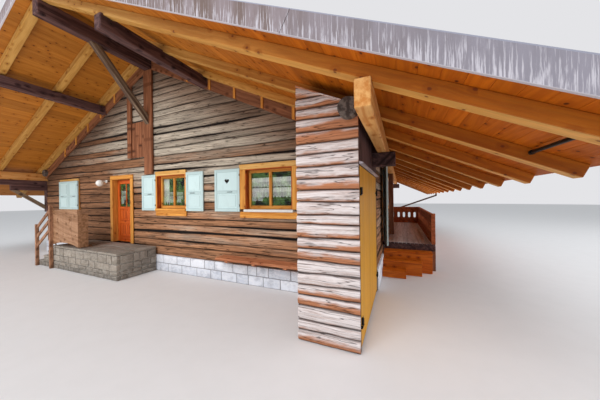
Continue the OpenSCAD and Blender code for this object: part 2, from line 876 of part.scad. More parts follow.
module entrance_door() {
    color("brown") placed() at_entrance_axis() difference() {
        door_leaf(entrance_w - door_gap, leaf_z0, leaf_h);
        for (z = [0.10, 0.55]) block([90, -barrel_r - leaf_t - 1, leaf_z0 + leaf_h * z],
            [entrance_w - 130, -barrel_r - leaf_t + 10, leaf_z0 + leaf_h * (z + 0.36)]);
    }
}

store_y0 = -store_d + slab_t + store_core_t;
store_y1 = store_back - 80;
store_leaf_h = store_head_z - store_foot_z - door_gap;
store_meet = (store_y0 + store_y1) / 2;
store_leaf_reach = store_meet - store_y0 - 5;

// Half-round log slabs over a wall's core, running along X with their backs at Y = 0.
module log_slabs(x0, x1, top) {
    r = slab_h * 0.56;
    for (i = [0 : floor(top / slab_h) - 1]) intersection() {
        translate([x0, r - slab_t, (i + 0.5) * slab_h]) rotate([0, 90, 0])
            cylinder(r = r, h = x1 - x0, $fn = 24);
        block([x0 - 1, -slab_t - 1, i * slab_h + 1], [x1 + 1, 0, (i + 1) * slab_h - 1]);
    }
}

// Outline under the rafters, for cutting what stands below them.
module under_rafters() {
    polygon([[0, -1], [eave_run, -1], [eave_run, rafter_z(eave_run) - seat], [0, rafter_z(0) - seat]]);
}

module store_log_wall() {
    front = -store_d + slab_t;
    top = rafter_z(store_x) + 40;
    color("rosybrown") placed() difference() {
        intersection() {
            union() {
                block([store_x, front, 0], [half_w, front + store_core_t, top]);
                block([store_x, front, 0], [store_x + store_core_t, -seat, top]);
                translate([0, front, 0]) log_slabs(store_x - slab_t, half_w, top);
                translate([store_x, 0, 0]) rotate([0, 0, -90]) log_slabs(seat, -front, top);
            }
            along_y(-store_d - 1, 1) under_rafters();
        }
        plate_log(1, seat);
    }
}

module store_walls() {
    top = rafter_z(store_x) + 40;
    color("saddlebrown") placed() difference() {
        intersection() {
            union() {
                block([store_x, 0, 0], [store_x + 80, store_back, top]);
                block([store_x, store_y1, 0], [half_w, store_back, top]);
            }
            along_y(-1, store_back + 1) under_rafters();
        }
        plate_log(1, seat);
    }
}

module store_head() {
    board_t = 60;
    drip = 50;
    slit_y = store_meet + 60;
    color("saddlebrown") placed() {
        difference() {
            union() {
                block([half_w - board_t, store_y0, store_head_z], [half_w, store_y1, plate_z - plate_r / 2]);
                block([half_w, store_y0 - 40, store_head_z + 4],
                    [half_w + drip, store_y1 + 40, store_head_z + 40]);
            }
            block([half_w - 30, slit_y, store_head_z + 60], [half_w + 1, slit_y + 24, plate_z]);
            plate_log(1, seat);
        }
    }
}

module at_store_axis(is_near) {
    on_right() translate([is_near ? store_y0 + pin_in : store_y1 - pin_in, -barrel_r, 0])
        mirror([0, 1, 0]) mirror([is_near ? 0 : 1, 0, 0]) children();
}

module store_hinges() {
    color("black") placed() for (is_near = [true, false])
        at_store_axis(is_near) hinge_pins(store_foot_z, store_leaf_h, 50);
}

module store_door_near() {
    color("goldenrod") placed() at_store_axis(true) door_leaf(store_leaf_reach, store_foot_z, store_leaf_h);
}

module store_door_far() {
    color("goldenrod") placed() at_store_axis(false) door_leaf(store_leaf_reach, store_foot_z, store_leaf_h);
}

deck_leaf_z0 = deck_z + door_gap;
deck_leaf_h = deck_door_h - 2 * door_gap;
deck_stile = 100;

module at_deck_axis() {
    on_right() translate([deck_door_y0 + pin_in, leaf_in + leaf_t + barrel_r, 0]) children();
}

module deck_door_frame() {
    color("chocolate") placed() {
        on_right() door_surround(deck_door_y0, deck_door_w, deck_z, deck_head_z, deck_board_w);
        at_deck_axis() hinge_pins(deck_leaf_z0, deck_leaf_h);
    }
}

// Glazed field of the deck door, round its own hinge axis.
module deck_door_field(y0, y1, grow) {
    block([door_gap - pin_in + deck_stile - grow, y0, deck_leaf_z0 + deck_stile * 2 - grow],
        [deck_door_w - door_gap - pin_in - deck_stile + grow, y1, deck_leaf_z0 + deck_leaf_h - deck_stile + grow]);
}

module deck_door() {
    color("saddlebrown") placed() at_deck_axis() difference() {
        door_leaf(deck_door_w - door_gap, deck_leaf_z0, deck_leaf_h);
        deck_door_field(-barrel_r - leaf_t - 1, -barrel_r + 1, 0);
    }
}

module deck_door_glass() {
    mid = -barrel_r - leaf_t / 2;
    color("lightblue") placed() at_deck_axis() deck_door_field(mid - glass_t / 2, mid + glass_t / 2, 0);
}

module deck_floor() {
    color("gray") placed()
        block([half_w + seat, deck_y0, deck_z - deck_board_t], [half_w + deck_w, deck_y0 + deck_l, deck_z]);
}

frame_h = 140;
frame_w = 90;
deck_under = deck_z - deck_board_t;

module deck_frame() {
    color("dimgray") placed() {
        block([half_w + plinth_step + seat, deck_y0 + frame_w, deck_under - frame_h],
            [half_w + plinth_step + frame_w, deck_y0 + deck_l - frame_w, deck_under]);
        block([half_w + deck_w - frame_w, deck_y0, deck_under - frame_h],
            [half_w + deck_w, deck_y0 + deck_l, deck_under]);
        for (y = [deck_y0, deck_y0 + deck_l - frame_w])
            block([half_w + plinth_step + seat, y, deck_under - frame_h],
                [half_w + deck_w - frame_w, y + frame_w, deck_under]);
    }
}

module deck_posts() {
    w = 90;
    bays = 3;
    red_y = deck_y0 + 1450;
    color("chocolate") placed() {
        for (i = [0 : bays]) translate([half_w + deck_w - frame_w, deck_y0 + i * (deck_l - w) / bays, 0])
            cube([w, w, deck_under - frame_h]);
        for (i = [0 : bays]) translate([half_w + plinth_step + seat,
            deck_y0 + i * (deck_l - w) / bays, 0])
            cube([w - seat, w, deck_under - frame_h]);
        block([eave_purlin_x - 70, red_y, deck_z], [eave_purlin_x + 70, red_y + 150, eave_purlin_under]);
    }
}

// Box steps, each narrower than the one above it.
module deck_steps() {
    reaches = [560, 910, 1160];
    steps = len(reaches);
    riser = deck_z / (steps + 1);
    color("chocolate") placed() for (i = [1 : steps])
        block([half_w + plinth_step + seat, deck_y0 - (steps + 1 - i) * deck_going, 0],
            [half_w + reaches[i - 1], deck_y0 - seat, riser * i]);
}

parapet_board_t = 28;
parapet_post = 90;

// Upright boards with an oval slot over each joint, along X from the origin.
module slotted_boards(l, h) {
    slot_w = 100;
    slot_h = 250;
    count = round(l / 235);
    pitch = l / count;
    joint = 4;
    difference() {
        cube([l, parapet_board_t, h]);
        for (i = [0 : count - 1]) translate([(i + 0.5) * pitch, 0, h * 0.5]) {
            translate([-joint / 2, -1, -h]) cube([joint, 5, 2 * h]);
            translate([-slot_w / 2, -1, (slot_w - slot_h) / 2])
                cube([slot_w, parapet_board_t + 2, slot_h - slot_w]);
            for (side = [-1, 1]) translate([0, -1, side * (slot_h - slot_w) / 2])
                rotate([-90, 0, 0]) cylinder(r = slot_w / 2, h = parapet_board_t + 2, $fn = 24);
        }
    }
}

module deck_parapet() {
    post = parapet_post;
    rail_h = 45;
    x1 = half_w + deck_w;
    y1 = deck_y0 + deck_l;
    top = deck_z + parapet_h;
    board_h = parapet_h - 2 * rail_h;
    inset = (post - parapet_board_t) / 2;
    color("sienna") placed() {
        for (y = [deck_y0, y1 - post]) block([x1 - post, y, deck_z], [x1, y + post, top]);
        block([x1 - post, deck_y0 - 8, top], [x1, deck_y0 + post + 8, top + 30]);
        for (z = [deck_z, top - rail_h]) {
            block([x1 - post, deck_y0 + post, z], [x1, y1 - post, z + rail_h]);
            block([half_w + seat, y1 - post, z], [x1 - post, y1, z + rail_h]);
        }
        translate([x1 - inset, deck_y0 + post, deck_z + rail_h]) rotate([0, 0, 90])
            slotted_boards(deck_l - 2 * post, board_h);
        translate([half_w + seat, y1 - post + inset, deck_z + rail_h])
            slotted_boards(deck_w - post - seat, board_h);
    }
}

landing_riser = floor_z / landing_risers;
landing_front = -landing_d;

module entrance_landing() {
    color("darkgray") placed() {
        block([landing_x0, landing_front, 0], [landing_x1, -plinth_step - seat, floor_z]);
        for (i = [1 : landing_risers - 1])
            block([landing_x0 - (landing_risers - i) * landing_going, landing_front, 0],
                [landing_x0, -plinth_step - seat, landing_riser * i]);
    }
}

rail_post = 70;

module entrance_railing() {
    rail = 90;
    rail_t = 35;
    run = (landing_risers - 1) * landing_going;
    x0 = landing_x0 - run;
    y0 = landing_front - rail_post;
    head_top = floor_z + 1130;
    foot_top = head_top - 555;
    color("sienna") placed() {
        block([x0 - rail_post / 2, y0, 0], [x0 + rail_post / 2, landing_front - seat, foot_top]);
        block([landing_x0 - rail_post / 2, y0, 0],
            [landing_x0 + rail_post / 2, landing_front - seat, head_top]);
        for (drop = [60, 330, 600]) translate([0, y0 + rail_post / 2 + rail_t / 2, 0])
            rotate([90, 0, 0]) linear_extrude(rail_t)
                polygon([[x0, foot_top - drop - rail], [landing_x0, head_top - drop - rail],
                    [landing_x0, head_top - drop], [x0, foot_top - drop]]);
    }
}

// Carved board parapet on the landing's front edge, with an arched apron between its feet.
module entrance_parapet() {
    l = 1340;
    t = 30;
    foot = 60;
    low = floor_z + 190;
    top = floor_z + 900;
    rail_h = 105;
    apron_low = floor_z + 45;
    arch_rise = 70;
    arch_w = l - 2 * foot;
    arch_r = arch_w * arch_w / 8 / arch_rise + arch_rise / 2;
    wing = 160;
    x0 = landing_x0;
    y0 = landing_front;
    rail_x0 = x0 + rail_post / 2 + seat;
    pitch = 310;
    color("burlywood") placed() difference() {
        union() {
            block([x0, y0, low], [x0 + l, y0 + t, top]);
            for (x = [x0, x0 + l - foot]) block([x, y0, floor_z], [x + foot, y0 + foot, top]);
            block([rail_x0, y0 - 12, top], [x0 + l, y0 + foot + 12, top + rail_h]);
            block([x0 + foot, y0, apron_low], [x0 + l - foot, y0 + t, low + 5]);
            block([rail_x0, y0 - 6, low - 30], [x0 + l, y0 + t, low + 20]);
            block([x0 + l - t, y0 + foot, floor_z + 20], [x0 + l, y0 + foot + wing, top]);
        }
        translate([x0 + l / 2, y0 - 20, apron_low + arch_rise - arch_r]) rotate([-90, 0, 0])
            cylinder(r = arch_r, h = t + 40, $fn = 120);
        for (i = [0 : 3]) translate([x0 + 265 + i * pitch, y0 - 1, low + 155]) rotate([0, 45, 0])
            cube([26, t + 2, 26]);
        for (i = [0, 2]) translate([x0 + 290 + i * pitch, y0 - 1, low + 560]) {
            rotate([-90, 0, 0]) cylinder(r = 22, h = t + 2, $fn = 24);
            translate([-11, 0, -95]) cube([22, t + 2, 95]);
        }
        for (i = [1 : 8]) translate([x0 + foot + i * arch_w / 9 - 2, y0 - 1, low + 20])
            cube([4, 5, top - low - 20]);
    }
}

module entrance_lamp() {
    r = 95;
    x = entrance_x - 765;
    z = 2425;
    plate_lift = 60;
    color("ivory") placed() {
        translate([x, -190, z]) sphere(r = r, $fn = 32);
        translate([x, -seat, z + plate_lift]) rotate([90, 0, 0]) cylinder(r = 45, h = 20, $fn = 24);
        translate([x, -10, z + plate_lift]) rotate([90, 0, 0]) cylinder(r = 14, h = 150, $fn = 24);
    }
}

// Tube lamp under the right eave, in the first bay behind the outermost rafter.
module tube_lamp() {
    end_gap = 24;
    l = rafter_step - rafter_w - end_gap;
    x = eave_run - 440;
    y0 = rafter_y(-2) + rafter_w;
    z = rafter_z(x) + rafter_v - 55;
    color("black") placed() translate([x, y0, z]) rotate([-90, 0, 0]) {
        cylinder(r = 32, h = 10, $fn = 24);
        cylinder(r = 18, h = l - 10, $fn = 24);
        translate([0, 0, l - 40]) cylinder(r = 24, h = 40, $fn = 24);
    }
}

// Plank seat on brackets that stand out of the wall over the plinth.
module wall_bench() {
    z = 600;
    t = 50;
    depth = 300;
    bracket_w = 80;
    bracket_h = 75;
    x1 = store_x - slab_t - 10;
    x0 = x1 - 2500;
    color("firebrick") placed() {
        block([x0, -depth, z - t], [x1, 0, z]);
        for (share = [0.1, 0.38, 0.67]) translate([x0 + share * (x1 - x0), -depth + 15, z - t - bracket_h])
            cube([bracket_w, depth - 15, bracket_h]);
    }
}

stone_plinth();
ground_floor();
front_wall_left();
front_wall_right();
front_gable();
left_wall();
right_wall_near();
right_wall_far();
right_wall_upper();
rear_wall();
purlins();
eave_purlins();
wall_plates();
gable_posts();
gable_boarding();
roof_braces();
purlin_supports();
rafters_left();
rafters_right();
roof_boarding_left();
roof_boarding_right();
roof_covering_left();
roof_covering_right();
ridge_cap();
verge_boards();
gable_trim();
gutters();
window_frames();
window_glass();
window_casings();
window_shutters();
entrance_frame();
entrance_door();
store_log_wall();
store_walls();
store_head();
store_hinges();
store_door_near();
store_door_far();
deck_door_frame();
deck_door();
deck_door_glass();
deck_floor();
deck_frame();
deck_posts();
deck_steps();
deck_parapet();
entrance_landing();
entrance_railing();
entrance_lamp();
wall_bench();
downpipes();
entrance_parapet();
tube_lamp();
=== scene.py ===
"""Looks of an alpine chalet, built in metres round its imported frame.

X runs along the gable front, the front faces -Y and Z is up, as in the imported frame.
"""

import logging
import math
import random
from collections.abc import Callable, Iterable, Sequence
from dataclasses import dataclass
from enum import Enum

import bmesh
import bpy
import numpy as np
from mathutils import Matrix, Vector, noise


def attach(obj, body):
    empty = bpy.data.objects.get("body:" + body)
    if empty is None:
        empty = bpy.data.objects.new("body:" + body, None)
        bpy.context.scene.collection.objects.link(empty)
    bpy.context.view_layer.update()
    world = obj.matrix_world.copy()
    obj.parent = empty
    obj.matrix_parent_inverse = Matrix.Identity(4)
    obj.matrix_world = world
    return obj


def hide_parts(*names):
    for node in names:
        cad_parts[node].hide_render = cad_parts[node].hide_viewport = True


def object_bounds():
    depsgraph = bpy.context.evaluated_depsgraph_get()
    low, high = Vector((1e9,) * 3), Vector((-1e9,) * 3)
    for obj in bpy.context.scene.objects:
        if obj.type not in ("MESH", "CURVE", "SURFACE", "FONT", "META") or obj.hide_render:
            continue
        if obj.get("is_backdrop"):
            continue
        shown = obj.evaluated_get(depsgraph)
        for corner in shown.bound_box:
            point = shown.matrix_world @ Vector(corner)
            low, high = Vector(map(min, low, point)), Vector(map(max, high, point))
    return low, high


LOG = logging.getLogger("chalet")
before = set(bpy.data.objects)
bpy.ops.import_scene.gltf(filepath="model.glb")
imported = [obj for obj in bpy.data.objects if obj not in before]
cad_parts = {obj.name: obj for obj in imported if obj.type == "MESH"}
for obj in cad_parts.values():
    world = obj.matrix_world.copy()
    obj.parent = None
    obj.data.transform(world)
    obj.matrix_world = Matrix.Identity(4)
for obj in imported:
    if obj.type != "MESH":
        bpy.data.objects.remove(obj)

Colour = tuple[int, int, int]
Spot = tuple[float, float]
Row = Sequence[float]
Ring = list[tuple[Vector, Vector, Vector]]
ALONG_Y, UPRIGHT = (0, 1, 0), (0, 0, 1)
SLOPE = 0.47
TILT = math.atan(SLOPE)
COS, SIN = math.cos(TILT), math.sin(TILT)
PLUMB = math.sqrt(1 + SLOPE**2)
# Without a seed, noise_vector differs from run to run.
NOISE_SEED = 1


def linear(colour: Colour, factor: float = 1.0) -> tuple[float, float, float, float]:
    """Turn a colour written as on a paint card into the shader's linear numbers.

    Args:
        colour: Red, green and blue from 0 to 255.
        factor: Brightens or darkens the result.

    Returns:
        Linear red, green, blue and an alpha of 1.
    """
    parts = [c / 255 for c in colour]
    flat = [c / 12.92 if c <= 0.04045 else ((c + 0.055) / 1.055) ** 2.4 for c in parts]
    return (flat[0] * factor, flat[1] * factor, flat[2] * factor, 1.0)


@dataclass(frozen=True)
class Plan:
    """Sizes of the house, the same as in the part's source."""

    half_w: float = 5.9
    half_d: float = 5.3
    wall: float = 0.2
    plinth: float = 0.42
    plinth_out: float = 0.03
    floor: float = 0.64
    under: float = 3.007
    eave_edge: float = 8.04
    covering_edge: float = 8.07
    verge: float = 7.6473
    verge_t: float = 0.03
    rafter_v: float = 0.130 * PLUMB
    boarding_v: float = 0.025 * PLUMB
    covering_v: float = 0.150 * PLUMB
    store_x: float = 5.14
    store_d: float = 1.45
    store_back: float = 0.7
    sill: float = 1.66
    window_h: float = 0.88
    leaf_y: float = 0.110
    leaf_t: float = 0.045

    def rafter_z(self, x: float) -> float:
        """Height of the rafters' underside at a distance from the ridge line."""
        return self.under + SLOPE * (self.half_w - abs(x))

    def on_slope(self, sign: int, spots: Iterable[Spot]) -> list[Spot]:
        """Outline of a board that follows one slope.

        Args:
            sign: 1 for the right slope, -1 for the left one.
            spots: Distances from the ridge line, and heights over the rafters' underside.

        Returns:
            Its corners in X and Z.
        """
        return [(sign * x, self.rafter_z(x) + rise) for x, rise in spots]

    def strip(self, sign: int, a: float, b: float, low: float, high: float) -> list[Spot]:
        """Outline of a board between two distances from the ridge line and two heights."""
        return self.on_slope(sign, rectangle(a, b, low, high))


def rectangle(x0: float, x1: float, z0: float, z1: float) -> list[Spot]:
    """Corners of an upright rectangle."""
    return [(x0, z0), (x1, z0), (x1, z1), (x0, z1)]


PLAN = Plan()
COURSES = (1.05, 0.86, 1.14, 0.95, 0.80, 1.18, 0.92, 1.22, 0.84, 1.04)
COURSE_H = 0.205


def course_z(i: int) -> float:
    """Nominal height of the joint under hewn timber number i."""
    return PLAN.plinth + COURSE_H * sum(COURSES[k % 10] for k in range(i))


class Side(Enum):
    """Wall frames: X runs along the wall as seen from outside, and Y runs inward."""

    FRONT = Matrix(((1, 0, 0, 0), (0, 1, 0, -5.3), (0, 0, 1, 0), (0, 0, 0, 1)))
    LEFT = Matrix(((0, 1, 0, -5.9), (-1, 0, 0, 5.3), (0, 0, 1, 0), (0, 0, 0, 1)))
    RIGHT = Matrix(((0, -1, 0, 5.9), (1, 0, 0, -5.3), (0, 0, 1, 0), (0, 0, 0, 1)))
    REAR = Matrix(((-1, 0, 0, 5.9), (0, -1, 0, 5.3), (0, 0, 1, 0), (0, 0, 0, 1)))


def arithmetic(operation: str, is_reflected: bool = False) -> Callable[["Port", "Port | float"], "Port"]:
    """Operator of a port.

    Args:
        operation: The Math node's name for it.
        is_reflected: Whether the port stands on the right.

    Returns:
        The method that adds the node.
    """

    def method(port: "Port", other: "Port | float") -> "Port":
        """Add the Math node."""
        return port.math(operation, *((other, port) if is_reflected else (port, other)))

    return method


class Port:
    """Output of a shader node. Arithmetic on it adds Math nodes."""

    def __init__(self, tree: "Shader", socket: bpy.types.NodeSocket) -> None:
        """Wrap a socket of a tree."""
        self.tree = tree
        self.socket = socket

    def math(self, operation: str, *values: "Port | float") -> "Port":
        """Add a Math node on these values, in their order."""
        return self.tree.node("ShaderNodeMath", {"operation": operation}, dict(enumerate(values)))

    __add__, __radd__ = arithmetic("ADD"), arithmetic("ADD", True)
    __sub__, __rsub__ = arithmetic("SUBTRACT"), arithmetic("SUBTRACT", True)
    __mul__, __rmul__ = arithmetic("MULTIPLY"), arithmetic("MULTIPLY", True)

    def __abs__(self) -> "Port":
        """Size without its sign."""
        return self.math("ABSOLUTE", self)


Tone = Port | tuple[float, float, float, float]


class Shader:
    """Node tree of one material."""

    def __init__(self, name: str) -> None:
        """Start an empty material.

        Args:
            name: Its name.
        """
        self.material = bpy.data.materials.new(name)
        self.material.use_nodes = True
        self.nodes = self.material.node_tree.nodes
        self.nodes.clear()

    def node(
        self, kind: str, settings: dict | None = None, values: dict | None = None, output: int | str = 0
    ) -> Port:
        """Add a node.

        Args:
            kind: Blender's name of the node type.
            settings: Properties to set first.
            values: Numbers, colours or ports for its inputs, by name or number.
            output: Name or number of the output to return.

        Returns:
            The chosen output.
        """
        made = self.nodes.new(kind)
        for key, value in (settings or {}).items():
            setattr(made, key, value)
        for key, value in (values or {}).items():
            if isinstance(value, Port):
                self.material.node_tree.links.new(value.socket, made.inputs[key])
            else:
                made.inputs[key].default_value = value
        return Port(self, made.outputs[output])

    def mix(self, factor: Port | float, first: Tone, second: Tone, blend: str = "MIX") -> Port:
        """Mix two colours."""
        settings = {"data_type": "RGBA", "blend_type": blend}
        return self.node("ShaderNodeMix", settings, {0: factor, 6: first, 7: second}, 2)

    def coats(self, tone: Tone, *coats: tuple) -> Port:
        """Lay coats over a tone.

        Args:
            tone: What lies below.
            *coats: How far each covers, its colour and how far that is brightened.

        Returns:
            The tone of them all.
        """
        for factor, *colour in coats:
            tone = self.mix(factor, tone, linear(*colour))
        return tone

    def varied(self, tone: Tone, low: Row, high: Row) -> Port:
        """Multiply a tone by each timber's own share between two."""
        return self.mix(1.0, tone, self.mix(self.tint(), (*low, 1), (*high, 1)), "MULTIPLY")

    def vector(self, operation: str, first: Port, second: Port | tuple) -> Port:
        """Add a Vector Math node on two vectors."""
        return self.node("ShaderNodeVectorMath", {"operation": operation}, {0: first, 1: second})

    def noise(
        self, vector: Port, scale: float | Row, detail: float, rough: float, output: str = "Fac"
    ) -> Port:
        """Noise around 0.5.

        Args:
            vector: Where it is read.
            scale: One scale, or one for each direction of the vector.
            detail: Number of finer layers.
            rough: Weight of the finer layers.
            output: Fac or Color.

        Returns:
            The noise.
        """
        if not isinstance(scale, float):
            vector, scale = self.vector("MULTIPLY", vector, tuple(scale)), 1.0
        values = {"Vector": vector, "Scale": scale, "Detail": detail, "Roughness": rough}
        return self.node("ShaderNodeTexNoise", {}, values, output)

    def band(self, value: Port, low: float, high: float) -> Port:
        """Smooth step from 0 at low to 1 at high."""
        values = {"Value": value, "From Min": low, "From Max": high}
        return self.node("ShaderNodeMapRange", {"interpolation_type": "SMOOTHSTEP"}, values)

    def part(self, vector: Port, axis: str) -> Port:
        """One part of a vector."""
        return self.node("ShaderNodeSeparateXYZ", {}, {0: vector}, axis)

    def geometry(self, output: str = "Position") -> Port:
        """Position or normal in the scene."""
        return self.node("ShaderNodeNewGeometry", {}, {}, output)

    def grain(self) -> Port:
        """The wood's own coordinates in metres: along, across and through."""
        return self.node("ShaderNodeAttribute", {"attribute_name": "grain"}, {}, "Vector")

    def place(self, axis: str) -> Port:
        """Metres from the start (X), or -1 to 1 across (Y) and through (Z) the timber."""
        return self.part(self.node("ShaderNodeAttribute", {"attribute_name": "place"}, {}, "Vector"), axis)

    def tint(self) -> Port:
        """Random number of each timber or stone, from 0 to 1."""
        return self.node("ShaderNodeAttribute", {"attribute_name": "tint"}, {}, "Fac")

    def checks(self, grain: Port, scale: Row, width: float) -> Port:
        """Thin drying cracks along the grain, 1 where they are open."""
        return 1 - self.band(abs(self.noise(grain, scale, 2.0, 0.4) - 0.5), 0.004, width)

    def close(
        self, colour: Tone, rough: Port | float, height: Port, relief: float, **fixed: Port | float | Tone
    ) -> bpy.types.Material:
        """End the tree in one Principled shader.

        Args:
            colour: Base colour.
            rough: Roughness.
            height: Height of the surface in units of its relief.
            relief: That unit in metres.
            **fixed: Values for other sockets, with _ for a space.

        Returns:
            The finished material.
        """
        bump = self.node("ShaderNodeBump", {}, {"Height": height, "Distance": relief, "Strength": 1.0})
        values = {"Base Color": colour, "Roughness": rough, "Normal": bump}
        values |= {key.replace("_", " "): value for key, value in fixed.items()}
        bsdf = self.node("ShaderNodeBsdfPrincipled", {}, values)
        end = self.nodes.new("ShaderNodeOutputMaterial")
        self.material.node_tree.links.new(bsdf.socket, end.inputs["Surface"])
        return self.material


@dataclass(frozen=True)
class Wood:
    """Sawn or planed timber with grain lines and knots.

    Fields: the light and dark tones of the grain, the tone of the knots, how far timbers differ
    from each other, the share of knots, the roughness, how strong the grain lines are, the light
    and dark tones toward the right side of the house, where they differ, which paint in the warmer
    light that falls there, how much it mirrors, and the paler tone painted on the right side's
    undersides as light from below, if they have one.
    """

    light: Colour
    dark: Colour
    knot: Colour
    spread: float
    knots: float
    rough: float = 0.55
    lines: float = 1.0
    right: tuple[Colour, Colour] | None = None
    sheen: float = 0.22
    painted_underside_light: Colour | None = None

    def build(self, name: str) -> bpy.types.Material:
        """Make the material.

        Args:
            name: Its name.

        Returns:
            The finished material.
        """
        s = Shader(name)
        grain = s.grain()
        across = (s.part(grain, "Y") + s.part(grain, "Z")) * 6.4
        flat = s.node("ShaderNodeCombineXYZ", {}, {0: s.part(grain, "X") * 4.6, 1: across})
        bend = s.vector("MULTIPLY", s.noise(grain, 30.0, 2.0, 0.5, "Color"), (0.06, 0.06, 0.0))
        cell = {"Vector": s.vector("ADD", flat, bend), "Scale": 1.0, "Randomness": 1.0}
        flat_cells = {"feature": "F1", "voronoi_dimensions": "2D"}
        near = s.node("ShaderNodeTexVoronoi", flat_cells, cell, "Distance")
        kind = s.node("ShaderNodeTexVoronoi", flat_cells, cell, "Color")
        real = s.band(s.part(kind, "X"), 1 - self.knots, 1.02 - self.knots)
        knot = real * (1 - s.band(near, 0.05, 0.11))
        halo = real * (1 - s.band(near, 0.08, 0.34))
        wander = s.noise(grain, (1.4, 3.0, 3.0), 2.0, 0.5, "Color")
        warp = s.vector("MULTIPLY", wander, (0.0, 2.2, 2.2))
        fibre = s.vector("ADD", s.vector("MULTIPLY", grain, (0.55, 17.0, 17.0)), warp)
        rings = s.noise(fibre, 1.0, 4.0, 0.6) + halo * 0.30
        fine = s.noise(grain, (4.0, 150.0, 150.0), 3.0, 0.6)
        light, dark = linear(self.light), linear(self.dark)
        # Painted light: toward the right side the tones shift to the warmer, stronger light that falls there.
        if self.right:
            reach = s.band(s.part(s.geometry(), "X"), 1.5, 7.0)
            light, dark = (s.mix(reach, a, linear(b)) for a, b in zip((light, dark), self.right))
        # Painted light: downward faces toward the right are lightened toward a pale tone, as if lit from
        # below.
        if self.painted_underside_light:
            painted_underside_mask = s.band(0 - s.part(s.geometry("Normal"), "Z"), 0.55, 0.80) * reach
            pairs = ((light, 1.0), (dark, 0.7))
            light, dark = (s.mix(painted_underside_mask * 0.75, tone, linear(self.painted_underside_light, f)) for tone, f in pairs)
        tone = s.mix(s.band(rings, 0.34, 0.66) * self.lines, light, dark)
        tone = s.varied(tone, (1 - self.spread,) * 3, (1 + self.spread,) * 3)
        tone = s.coats(
            tone,
            (s.band(fine, 0.35, 0.75) * 0.22, self.dark, 0.7),
            (knot * 0.9, self.knot),
        )
        height = fine * 0.5 + rings * 0.5 - knot * 0.3
        rough = self.rough + (rings - 0.5) * 0.25
        return s.close(tone, rough, height, 0.0012, Specular_IOR_Level=self.sheen)


@dataclass(frozen=True)
class Hewn:
    """Old axe-hewn timber: silver grey where the weather reaches it, red brown elsewhere, with painted shade
    close under the roof line and along each timber's upper and lower edges, and darker and browner toward the
    left.
    """

    grey: Colour
    brown: Colour
    dark: Colour

    def build(self, name: str) -> bpy.types.Material:
        """Make the material.

        Args:
            name: Its name.

        Returns:
            The finished material.
        """
        s = Shader(name)
        grain, tint, where = s.grain(), s.tint(), s.geometry()
        broad = s.noise(grain, (0.7, 4.0, 4.0), 3.0, 0.6)
        x, height = s.part(where, "X"), s.part(where, "Z")
        under = PLAN.rafter_z(0) - abs(x) * SLOPE - height
        # Darker and browner toward the left of the house.
        leftward = (s.band(x, -2.8, 1.2) - 1) * 1.5
        sky = s.band(under + (broad - 0.5) * 0.8, 0.0, 1.35)
        streak = s.noise(grain, (1.1, 42.0, 42.0), 5.0, 0.68)
        fibre = s.noise(grain, (5.0, 210.0, 210.0), 3.0, 0.6)
        crack = s.checks(grain, (0.9, 26.0, 26.0), 0.022)
        chips = s.noise(grain, (26.0, 60.0, 60.0), 2.0, 0.7)
        drive = height + leftward + (broad - 0.5) * 2.2 + (tint - 0.5) * 2.2
        aged = s.band(drive, 1.5, 2.9) * (0.35 + sky * 0.65)
        brown = s.mix(s.band(streak, 0.36, 0.66), linear(self.brown), linear(self.brown, 0.42))
        grey = s.mix(s.band(streak, 0.34, 0.68), linear(self.grey), linear(self.grey, 0.52))
        tone = s.coats(
            s.varied(s.mix(aged, brown, grey), (0.74, 0.72, 0.70), (1.25, 1.25, 1.25)),
            (s.band(broad, 0.50, 0.78) * 0.42, self.dark, 2.2),
            (s.band(chips, 0.60, 0.80) * 0.35, self.dark, 1.2),
            (s.band(fibre, 0.40, 0.75) * 0.30, self.dark, 1.6),
            # Painted shade: each timber darkens toward its upper and lower edges, next to the joints.
            (s.band(abs(s.place("Z")), 0.72, 1.0) * 0.55, self.dark),
            (crack * 0.85, self.dark, 0.5),
            # Painted shade: darker close under the roof line, where the overhang shades the wall; also darker
            # toward the left.
            ((1 - sky) * 0.55 - leftward * 0.15, self.dark, 1.5),
        )
        relief = streak * 0.6 + fibre * 0.15 + chips * 0.25 - crack * 0.9
        return s.close(tone, 0.86, relief, 0.004, Specular_IOR_Level=0.2)


@dataclass(frozen=True)
class Slab:
    """Bark-side log slab: pale along its upper half and red brown below, less pale higher up the wall, with
    painted shade along its upper and lower edges.
    """

    pale: Colour
    warm: Colour
    dark: Colour

    def build(self, name: str) -> bpy.types.Material:
        """Make the material.

        Args:
            name: Its name.

        Returns:
            The finished material.
        """
        s = Shader(name)
        grain, tint, level = s.grain(), s.tint(), s.place("Z")
        broad = s.noise(grain, (2.2, 9.0, 9.0), 4.0, 0.62)
        streak = s.noise(grain, (2.4, 60.0, 60.0), 5.0, 0.7)
        fibre = s.noise(grain, (8.0, 260.0, 260.0), 3.0, 0.6)
        crack = s.checks(grain, (1.2, 22.0, 22.0), 0.020)
        rise = s.part(s.geometry(), "Z") - 1.3
        # Paler along each slab's upper half, and less pale higher up the wall.
        drive = level + (broad - 0.5) * 3.0 + (tint - 0.5) * 1.9 - rise * 0.20
        tone = s.coats(
            linear(self.warm),
            (s.band(drive, -0.65, 0.25), self.pale),
            (s.band(streak, 0.42, 0.72) * 0.6, self.warm, 0.55),
            (s.band(broad, 0.55, 0.78) * 0.45, self.dark, 1.8),
            (s.band(fibre, 0.45, 0.8) * 0.25, self.dark),
            # Painted shade: each slab darkens toward its upper and lower edges, next to the joints.
            (s.band(abs(level), 0.70, 1.0) * 0.75, self.dark),
            (crack * 0.7, self.dark, 0.6),
        )
        relief = streak * 0.7 + fibre * 0.2 - crack * 0.8
        return s.close(tone, 0.88, relief, 0.004, Specular_IOR_Level=0.2)


